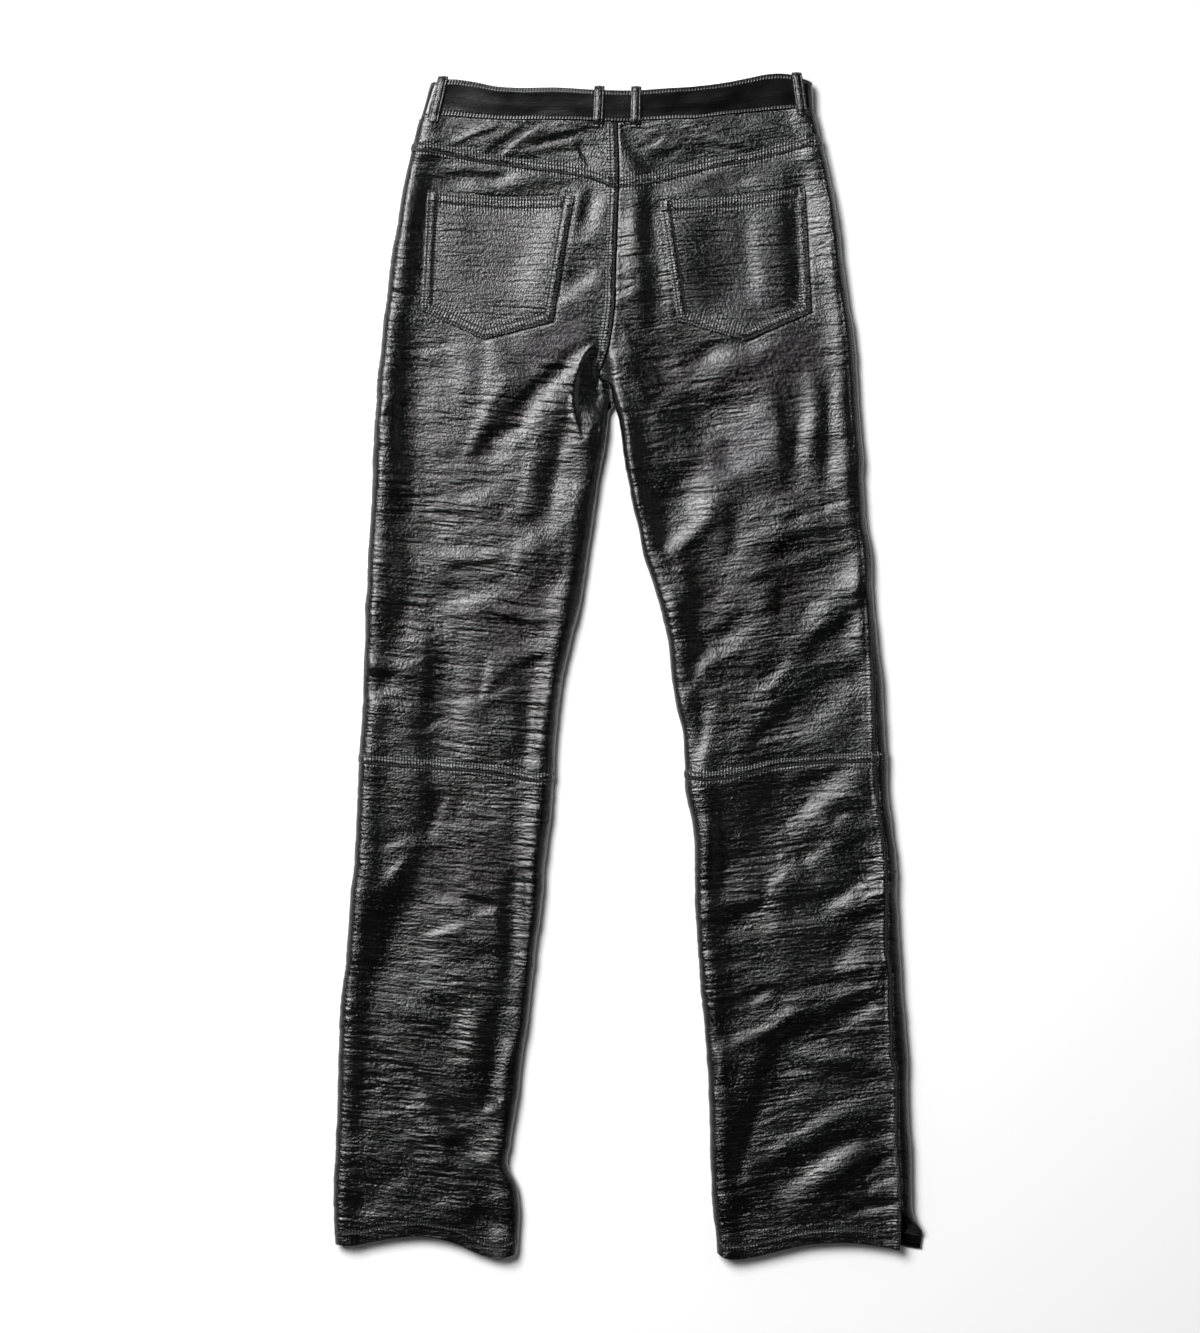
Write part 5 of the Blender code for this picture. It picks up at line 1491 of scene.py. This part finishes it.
def pocket_surface(side, x, down, depth):
    """A pocket's outer face: it lies on the panel, thicker round its edge where the hide is turned
    under, with its grooves, gathers and creases."""
    half = HALVES[side]
    mouth, edge, along = pocket_edges(side, x, down)
    rims = np.maximum(lap(edge, POCKET_HEM, POCKET_RIM), lap(mouth, POCKET_HEM + 1 * MM, MOUTH_RIM))
    rise = POCKET_RISE + rims
    # the corners of the mouth, bar tacked flat, tip a little towards the upper left
    tack = ease((MOUTH_ROWS[1] - mouth) / MM) * ease((POCKET_ROWS[1] - edge) / MM)
    (top_out, top_in, *_), _ = pocket_shape(side)
    outer_half = np.abs(x - top_out[0]) < np.abs(x - top_in[0])
    nearer = np.where(outer_half, top_out[0] + TACK_WIDTH, top_in[0] - TACK_WIDTH)
    rise = rise + tack * TACK_TIP * np.clip(x - nearer + mouth - TACK_WIDTH, -TACK_REACH, TACK_REACH)
    for row in POCKET_ROWS:
        rise = rise + groove(edge, row)
    for row in MOUTH_ROWS:
        rise = rise + groove(mouth, row) * (edge > POCKET_ROWS[1])
    rise = rise + 1.5 * puckers(along, edge - POCKET_HEM / 2, 4 * MM, half.seed + 31)
    rise = rise + 0.6 * puckers(x, mouth - POCKET_HEM / 2, 4 * MM, half.seed + 33)
    s, v = x / MM, down / MM + 0.06 * half.side * x / MM
    v = v + 4 * uneven(s, v, 40, 30, half.seed + 35)
    creases = creased(half.pocket_creases, s, v)
    swells = 0.6 * uneven(s, v, 38, 26, half.seed + 38)
    inside = ease((np.minimum(edge, mouth) - 6 * MM) / (5 * MM))
    rise = rise + depth * (creases * (0.25 + 0.75 * inside) + swells)
    return placed(x, down, half.skin(x, down) + rise)


def pocket_stitches(side, x, down):
    """Along and distance of the nearest of a pocket's rows of stitches, at each point."""
    mouth, edge, along = pocket_edges(side, x, down)
    rows = [(along, edge - row) for row in POCKET_ROWS]
    rows += [(x, mouth - row + NO_STITCH * (edge < POCKET_ROWS[1])) for row in MOUTH_ROWS]
    return nearest_stitches(rows)


def pocket_row(side, corners, depth):
    """A row of stitches on a pocket, along straight runs between corners."""
    runs = [np.linspace(a, b, 90)[:-1] for a, b in zip(corners[:-1], corners[1:])]
    line = np.concatenate(runs + [corners[-1:]])

    def off(dx, dy, creases=0):
        return pocket_surface(side, line[:, 0] + dx, line[:, 1] + dy, creases)

    across = off(WIDE_PROBE, 0) - off(-WIDE_PROBE, 0)
    upwards = off(0, -WIDE_PROBE) - off(0, WIDE_PROBE)
    return off(0, 0, depth), unit(np.cross(across, upwards)), run_length(line)


def inset_corners(side, inset):
    """The pocket's line of stitches at an inset: where its edges, each moved in by it, cross."""
    (top_out, top_in, low_in, tip, low_out), _ = pocket_shape(side)
    path = [top_out, low_out, tip, low_in, top_in]
    middle = np.mean(path, axis=0)
    lines = []
    for a, b in zip(path[:-1], path[1:]):
        way = (b - a) / np.linalg.norm(b - a)
        across = np.array([way[1], -way[0]])
        across = across * np.sign(np.dot(middle - a, across))
        lines.append((a + across * inset, way))
    found = [lines[0][0]]
    for (a, u), (b, w) in zip(lines[:-1], lines[1:]):
        t = np.linalg.solve(np.array([u, -w]).T, b - a)[0]
        found.append(a + u * t)
    last, way = lines[-1]
    found.append(last + way * np.dot(top_in - last, way))
    for end, inwards in ((0, 1), (-1, -2)):
        found[end] = found[end] + (found[inwards] - found[end]) * ROW_STARTS_AT
    return np.array(found)


def patch_pocket(side, depth):
    """A five-sided patch pocket: columns run from its outer to its inner edge, rows from its mouth to
    its pointed foot, all of them straight shares of the way between."""
    (top_out, top_in, low_in, tip, low_out), sag = pocket_shape(side)
    u = np.linspace(0, 1, 104)
    v = np.linspace(0, 1, 132)[:, None]
    tip_at = (tip[0] - low_out[0]) / (low_in[0] - low_out[0])
    bent = np.where(u < 0.5, u * tip_at / 0.5, tip_at + (u - 0.5) * (1 - tip_at) / 0.5)
    along = np.where(v < 0.5, u, u + (bent - u) * (v - 0.5) / 0.5)
    upper = top_out + (top_in - top_out) * along[..., None]
    upper[..., 1] += sagged(along, sag)
    lower = low_out + (low_in - low_out) * along[..., None]
    fall = np.minimum(along / tip_at, (1 - along) / (1 - tip_at))
    straight = low_out[1] + (low_in[1] - low_out[1]) * tip_at
    lower[..., 1] += (tip[1] - straight) * fall
    flat = upper + (lower - upper) * v[..., None]
    x, down = flat[..., 0], flat[..., 1]
    points = pocket_surface(side, x, down, depth)
    out = unit(np.cross(np.gradient(points, axis=1), np.gradient(points, axis=0)))
    out = out * np.sign(out[..., 2:].mean())
    uv = np.concatenate([together(x, down) + POCKET_CUT_AT, pocket_stitches(side, x, down)], axis=-1)
    points, out, uv = turned_edges(points, out, uv, (POCKET_EDGE,) * 4)
    name = "back_pocket_" + side
    piece = mesh_piece(name + "_hide", points, finish_named("glazed_black_cowhide"), uv, flip=side == "left")
    cloth(name)
    mouth_share = np.linspace(0.035, 0.965, 120)
    rows = [pocket_row(side, inset_corners(side, row), depth) for row in POCKET_ROWS]
    for row in MOUTH_ROWS:
        at = top_out + (top_in - top_out) * mouth_share[:, None]
        at[:, 1] += sagged(mouth_share, sag) + row
        rows.append(pocket_row(side, at[::6], depth))
    return rows


def tube_ring(points, out, thickness):
    """A band's closed section at each step: its outer face, a rounded edge, its inner face and the
    other rounded edge. points and out have the section along their first axis."""
    rounds = ((0.25 * MM, 0.2 * MM), (0.5 * MM, thickness / 2), (0.3 * MM, thickness - 0.2 * MM))
    top, bottom = (
        np.array([points[rim] + unit(points[rim] - points[inner]) * past - out[rim] * under
                  for past, under in rounds])
        for rim, inner in ((0, 1), (-1, -2))
    )
    inside = points[::5] - out[::5] * thickness
    return np.concatenate([points, bottom, inside[::-1], top[::-1]])


class TrouserSizes(bpy.types.PropertyGroup):
    """Sizes of the hide's surface that a user would change."""

    crease_depth: bpy.props.FloatProperty(
        name="Crease depth", description="How deep the fine creases across the legs are",
        default=1.0 * MM, min=0.0, max=2 * MM, precision=5, unit="LENGTH",
    )
    row_spacing: bpy.props.FloatProperty(
        name="Row spacing", description="Spacing of the rows of a back panel's grid",
        default=ROW, min=0.5 * MM, max=20 * MM, precision=5, unit="LENGTH",
    )


def colour(name, description, code):
    """A colour that a user would change, at first that of a hex code."""
    return bpy.props.FloatVectorProperty(
        name=name, description=description, subtype="COLOR", size=3, default=srgb(code)[:3], min=0.0, max=1.0,
    )


class TrouserColours(bpy.types.PropertyGroup):
    """Colours and finish of the materials."""

    leather: colour("Leather", "Colour of the dyed hide", "#030303")
    roughness: bpy.props.FloatProperty(
        name="Leather roughness", description="How soft the hide's gloss is", subtype="FACTOR",
        default=0.22, min=0.0, max=1.0,
    )
    grain: bpy.props.FloatProperty(
        name="Grain", description="How strongly the grain stands out", subtype="FACTOR",
        default=1.0, min=0.0, max=1.0,
    )
    thread: colour("Thread", "Colour of the thread and the zip tape", "#0b0b0c")
    brass: colour("Brass", "Colour of the zip and the button", "#5f5646")


class TrouserStage(bpy.types.PropertyGroup):
    """The floor and the lights."""

    floor: colour("Floor", "Colour of the floor", "#f7f7f7")
    key_power: bpy.props.FloatProperty(
        name="Key light", description="Power of the large light at the upper left", unit="POWER",
        default=232.0, min=0.0,
    )
    fill_power: bpy.props.FloatProperty(
        name="Fill light", description="Power of the light at the right", unit="POWER", default=5.0, min=0.0,
    )
    sky: bpy.props.FloatProperty(
        name="Ceiling", description="Brightness of the dark ceiling", default=0.006, min=0.0,
    )
    walls: bpy.props.FloatProperty(
        name="Walls", description="Brightness of the pale walls around", default=0.4, min=0.0,
    )


def area_light(name, place, aim, size, power):
    """An area light at a place, turned to face a point."""
    data = bpy.data.lights.new(name, "AREA")
    data.shape = "RECTANGLE"
    data.size, data.size_y = size
    data.energy = power
    lamp = bpy.data.objects.new(name, data)
    bpy.context.scene.collection.objects.link(lamp)
    lamp.location = place
    way = np.array(aim, float) - np.array(place, float)
    flat = math.hypot(way[0], way[1])
    lamp.rotation_euler = (math.atan2(flat, -way[2]), 0, math.atan2(way[1], way[0]) - math.pi / 2)
    lamp.visible_camera = False
    return lamp


class TROUSERS_OT_yokes(bpy.types.Operator):
    """The two back yokes, between the waistband and the yoke seam."""

    bl_idname = "trousers.yokes"
    bl_label = "Yokes"

    def execute(self, context):
        for half in HALVES.values():
            stage = (seam(BAND_BOTTOM, TO_GRID), seam(YOKE_SEAM, -TO_GRID), YOKE_LENGTH)
            hide_panel("back_yoke_", half, 1, [stage], CUT_EDGES, YOKE_GRID)
        return {"FINISHED"}


class TROUSERS_OT_thighs(bpy.types.Operator):
    """The two back thighs, from the yoke seam to the knee seam."""

    bl_idname = "trousers.thighs"
    bl_label = "Thighs"

    def execute(self, context):
        grid = (context.scene.trouser_sizes.row_spacing, EDGE_COLUMN, MIDDLE_COLUMN)
        for half in HALVES.values():
            stage = (seam(YOKE_SEAM, TO_GRID), seam(half.knee_seam, -TO_GRID), THIGH_LENGTH)
            hide_panel("back_thigh_", half, 1, [stage], CUT_EDGES, grid)
        return {"FINISHED"}


class TROUSERS_OT_calves(bpy.types.Operator):
    """The two back calves, from the knee seam to the hem, which is turned under."""

    bl_idname = "trousers.calves"
    bl_label = "Calves"

    def execute(self, context):
        grid = (context.scene.trouser_sizes.row_spacing, EDGE_COLUMN, MIDDLE_COLUMN)
        for half in HALVES.values():
            stage = (seam(half.knee_seam, TO_GRID), seam(half.hem, -EDGE_ROUND), CALF_LENGTH)
            hide_panel("back_calf_", half, 1, [stage], HEMMED_EDGES, grid)
        return {"FINISHED"}


class TROUSERS_OT_fronts(bpy.types.Operator):
    """The front thighs and calves, which lie on the floor and show where they roll over the edge."""

    bl_idname = "trousers.fronts"
    bl_label = "Fronts"

    def execute(self, context):
        for half in HALVES.values():
            yoke, foot = seam(YOKE_SEAM), seam(half.hem, -HEM_SHORTER - EDGE_ROUND)
            upper = [
                (straight_seam(FRONT_BAND_BOTTOM, TO_GRID), yoke, YOKE_LENGTH),
                (yoke, seam(half.knee_seam, -TO_GRID), THIGH_LENGTH),
            ]
            lower = [(seam(half.knee_seam, TO_GRID), foot, CALF_LENGTH)]
            hide_panel("front_thigh_", half, -1, upper, CUT_EDGES, FRONT_GRID)
            hide_panel("front_calf_", half, -1, lower, HEMMED_EDGES, FRONT_GRID)
        return {"FINISHED"}


class TROUSERS_OT_pockets(bpy.types.Operator):
    """The two patch pockets and their stitching."""

    bl_idname = "trousers.pockets"
    bl_label = "Pockets"

    def execute(self, context):
        depth = context.scene.trouser_sizes.crease_depth
        stitch_rows("stitching_pockets", patch_pocket("left", depth) + patch_pocket("right", depth))
        return {"FINISHED"}


class TROUSERS_OT_waistband(bpy.types.Operator):
    """The waistband, a stiff strip all the way round, and its two rows of stitches."""

    bl_idname = "trousers.waistband"
    bl_label = "Waistband"

    def execute(self, context):
        points, out, drop = waistband_rings()
        ring = tube_ring(points, out, BAND_THICKNESS)
        gone = run_length(points[len(drop) // 2])
        round_ring = np.linspace(0, BAND_GIRTH, len(ring))[:, None] + BAND_CUT_AT
        below = np.append(drop * BAND_WIDTH, np.full(len(ring) - len(drop), NO_STITCH))[:, None]
        rows = [(gone[None, :], below - row) for row in BAND_ROWS]
        uv = np.concatenate([together(gone, round_ring), nearest_stitches(rows)], axis=-1)
        ring, uv = np.moveaxis(ring, 0, 1), np.moveaxis(uv, 0, 1)
        finish = finish_named("smooth_black_strap_leather")
        piece = mesh_piece("waistband_hide", ring, finish, uv, wrap=True, caps=True)
        cloth("waistband")
        threads = []
        for row in BAND_ROWS:
            at = row / BAND_WIDTH * (len(drop) - 1)
            k = int(at)
            line = points[k] + (points[k + 1] - points[k]) * (at - k)
            threads.append((line, out[k], gone))
        stitch_rows("stitching_waistband", threads)
        return {"FINISHED"}


class TROUSERS_OT_belt_loops(bpy.types.Operator):
    """The six belt loops and their stitching."""

    bl_idname = "trousers.belt_loops"
    bl_label = "Belt loops"

    def execute(self, context):
        rows = []
        for name, (face, x_top, x_foot) in BELT_LOOPS.items():
            node = "belt_loop_" + name
            piece, found = belt_loop(node + "_hide", face, x_top * MM, x_foot * MM)
            cloth(node)
            rows += found
        stitch_rows("stitching_belt_loops", rows, FINE_THREAD_RADIUS)
        return {"FINISHED"}


class TROUSERS_OT_seam_stitches(bpy.types.Operator):
    """The stitches along the yoke, centre, knee and side seams and the hems."""

    bl_idname = "trousers.seam_stitches"
    bl_label = "Seam stitches"

    def execute(self, context):
        groups = {"yokes": [], "knees": [], "hems": [], "centre": [], "sides": []}
        for half in HALVES.values():
            for above in LAP_ROWS:
                groups["yokes"].append(row_above_seam(half, 1, seam(YOKE_SEAM), above))
                for face in (1, -1):
                    groups["knees"].append(row_above_seam(half, face, seam(half.knee_seam), above))
            for face, shift in ((1, 0.0), (-1, -HEM_SHORTER)):
                groups["hems"].append(row_above_seam(half, face, seam(half.hem, shift), HEM_ROW))
        left, right = HALVES["left"], HALVES["right"]
        down = np.linspace(*CENTRE_ROWS_RUN, 500) * MM
        for above in LAP_ROWS:
            groups["centre"].append(row_on_hide(left, 1, left.edges(1, down)[1] - above, down, down))
        down = np.linspace(*SIDE_ROW_RUNS, 1500) * MM
        groups["sides"].append(row_on_hide(right, 1, right.edges(1, down)[0] + SIDE_ROW, down, down))
        for name, rows in groups.items():
            stitch_rows("stitching_" + name, rows)
        return {"FINISHED"}


class TROUSERS_OT_fly(bpy.types.Operator):
    """The zip, its underlap and the waist button, inside and under the front."""

    bl_idname = "trousers.fly"
    bl_label = "Fly"

    def execute(self, context):
        right = HALVES["right"]
        for node, width, length, above, stuff, slot in (
            ("fly_zip", ZIP_WIDTH, FLY_LENGTH, ZIP_LIFT, "black_zip_tape", "zip_metal"),
            ("fly_underlap", UNDERLAP_WIDTH, FLY_LENGTH + UNDERLAP_LONGER, UNDERLAP_LIFT,
             "glazed_black_cowhide", "leather"),
        ):
            down = FLY_TOP + np.linspace(0, 1, 120)[:, None] * length
            x = follow(CENTRE_FRONT, down) + np.linspace(-0.5, 0.5, 24) * width
            points = placed(x, down, right.ground(x, down) + above + LEATHER)
            out = np.broadcast_to((0.0, 0.0, 1.0), points.shape)
            grown, _, uv = turned_edges(points, out, together(x + FLY_CUT_AT, down), CUT_EDGES)
            piece = mesh_piece(node + "_cloth", grown, finish_named(stuff), uv, flip=True)
            cloth(node)
        brass = finish_named("dark_brass")
        made = bpy.data.meshes.new("zip_teeth")
        made.from_pydata(*self.zip_teeth(right))
        made.materials.append(brass)
        show("zip_teeth", made)
        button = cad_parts["waist_button"]
        button.data.materials.clear()
        button.data.materials.append(brass)
        return {"FINISHED"}

    def zip_teeth(self, right):
        """Teeth, each a small block, in turn a little to the left and to the right of the zip's middle."""
        block = np.array([(i, j, k) for i in (-1, 1) for j in (-1, 1) for k in (-1, 1)], float) / 2
        quads = np.array([(0, 1, 3, 2), (4, 6, 7, 5), (0, 4, 5, 1), (2, 3, 7, 6), (0, 2, 6, 4), (1, 5, 7, 3)])
        down = FLY_TOP + np.arange(6 * MM, FLY_LENGTH - 6 * MM, TOOTH_PITCH)
        side = np.where(np.arange(len(down)) % 2 == 0, -1, 1)
        x = follow(CENTRE_FRONT, down) + side * TOOTH_OUT
        centre = placed(x, down, right.ground(x, down) + ZIP_LIFT + LEATHER + 0.75 * MM)
        verts = centre[:, None, :] + block * TOOTH_SIZE * MM
        faces = np.arange(len(centre))[:, None, None] * len(block) + quads
        return verts.reshape(-1, 3).tolist(), [], faces.reshape(-1, 4).tolist()


class TROUSERS_OT_stage(bpy.types.Operator):
    """The white floor, the lights and the camera straight above."""

    bl_idname = "trousers.stage"
    bl_label = "Stage"

    def execute(self, context):
        stage = context.scene.trouser_stage
        floor_finish, _, _ = new_material("matt_white_floor", tuple(stage.floor) + (1.0,), 0.9)
        made = bpy.data.meshes.new("floor")
        ways = ((-1, -1), (1, -1), (1, 1), (-1, 1))
        corners = [(x * FLOOR_REACH, y * FLOOR_REACH, -FLOOR_GAP) for x, y in ways]
        made.from_pydata(corners, [], [(0, 1, 2, 3)])
        made.materials.append(floor_finish)
        floor = bpy.data.objects.new("floor", made)
        context.scene.collection.objects.link(floor)
        area_light("key", KEY_PLACE, (0, 0, 0), KEY_SIZE, stage.key_power)
        area_light("fill", FILL_PLACE, (0, 0, 0), FILL_SIZE, stage.fill_power)
        context.scene.world = self.room(stage)
        data = bpy.data.cameras.new("camera")
        data.lens = LENS
        data.sensor_width = SENSOR
        camera = bpy.data.objects.new("camera", data)
        context.scene.collection.objects.link(camera)
        camera.location = (*VIEW_MIDDLE, VIEW_HEIGHT * LENS / SENSOR + VIEW_LEVEL)
        context.scene.camera = camera
        context.scene.view_settings.view_transform = "Standard"
        context.scene.view_settings.look = "None"
        return {"FINISHED"}

    def room(self, stage):
        """The world: its walls are pale low down, and fade into a dark ceiling."""
        world = bpy.data.worlds.new("dark_room_with_pale_walls")
        world.use_nodes = True
        tree = world.node_tree
        room = tree.nodes["Background"]
        room.inputs["Color"].default_value = (1, 1, 1, 1)
        place = add_node(tree, "ShaderNodeTexCoord")
        parts = add_node(tree, "ShaderNodeSeparateXYZ", links={"Vector": place.outputs["Generated"]})
        heights = (math.sin(WALLS_TO), math.sin(CEILING_FROM))
        faded = spread(tree, parts.outputs["Z"], heights, (stage.walls, stage.sky))
        tree.links.new(faded, room.inputs["Strength"])
        return world


STEPS = (
    TROUSERS_OT_stage, TROUSERS_OT_fronts, TROUSERS_OT_thighs, TROUSERS_OT_calves, TROUSERS_OT_yokes,
    TROUSERS_OT_pockets, TROUSERS_OT_waistband, TROUSERS_OT_belt_loops, TROUSERS_OT_seam_stitches,
    TROUSERS_OT_fly,
)


class TROUSERS_PT_panel(bpy.types.Panel):
    """Lists the garment's sizes, colours and steps."""

    bl_idname = "TROUSERS_PT_panel"
    bl_label = "Leather trousers"
    bl_space_type = "VIEW_3D"
    bl_region_type = "UI"
    bl_category = "Trousers"

    def draw(self, context):
        layout = self.layout
        scene = context.scene
        for group in (scene.trouser_sizes, scene.trouser_colours, scene.trouser_stage):
            box = layout.box()
            for name in group.bl_rna.properties.keys():
                if name not in ("rna_type", "name"):
                    box.prop(group, name)
        for step in STEPS:
            layout.operator(step.bl_idname)


CLASSES = (TrouserSizes, TrouserColours, TrouserStage) + STEPS + (TROUSERS_PT_panel,)


def register():
    for one in CLASSES:
        bpy.utils.register_class(one)
    bpy.types.Scene.trouser_sizes = bpy.props.PointerProperty(type=TrouserSizes)
    bpy.types.Scene.trouser_colours = bpy.props.PointerProperty(type=TrouserColours)
    bpy.types.Scene.trouser_stage = bpy.props.PointerProperty(type=TrouserStage)


def unregister():
    del bpy.types.Scene.trouser_sizes
    del bpy.types.Scene.trouser_colours
    del bpy.types.Scene.trouser_stage
    for one in reversed(CLASSES):
        bpy.utils.unregister_class(one)


def main():
    """Registers the steps and makes every piece in order."""
    register()
    for step in STEPS:
        group, name = step.bl_idname.split(".")
        getattr(getattr(bpy.ops, group), name)()


if __name__ == "__main__":
    main()
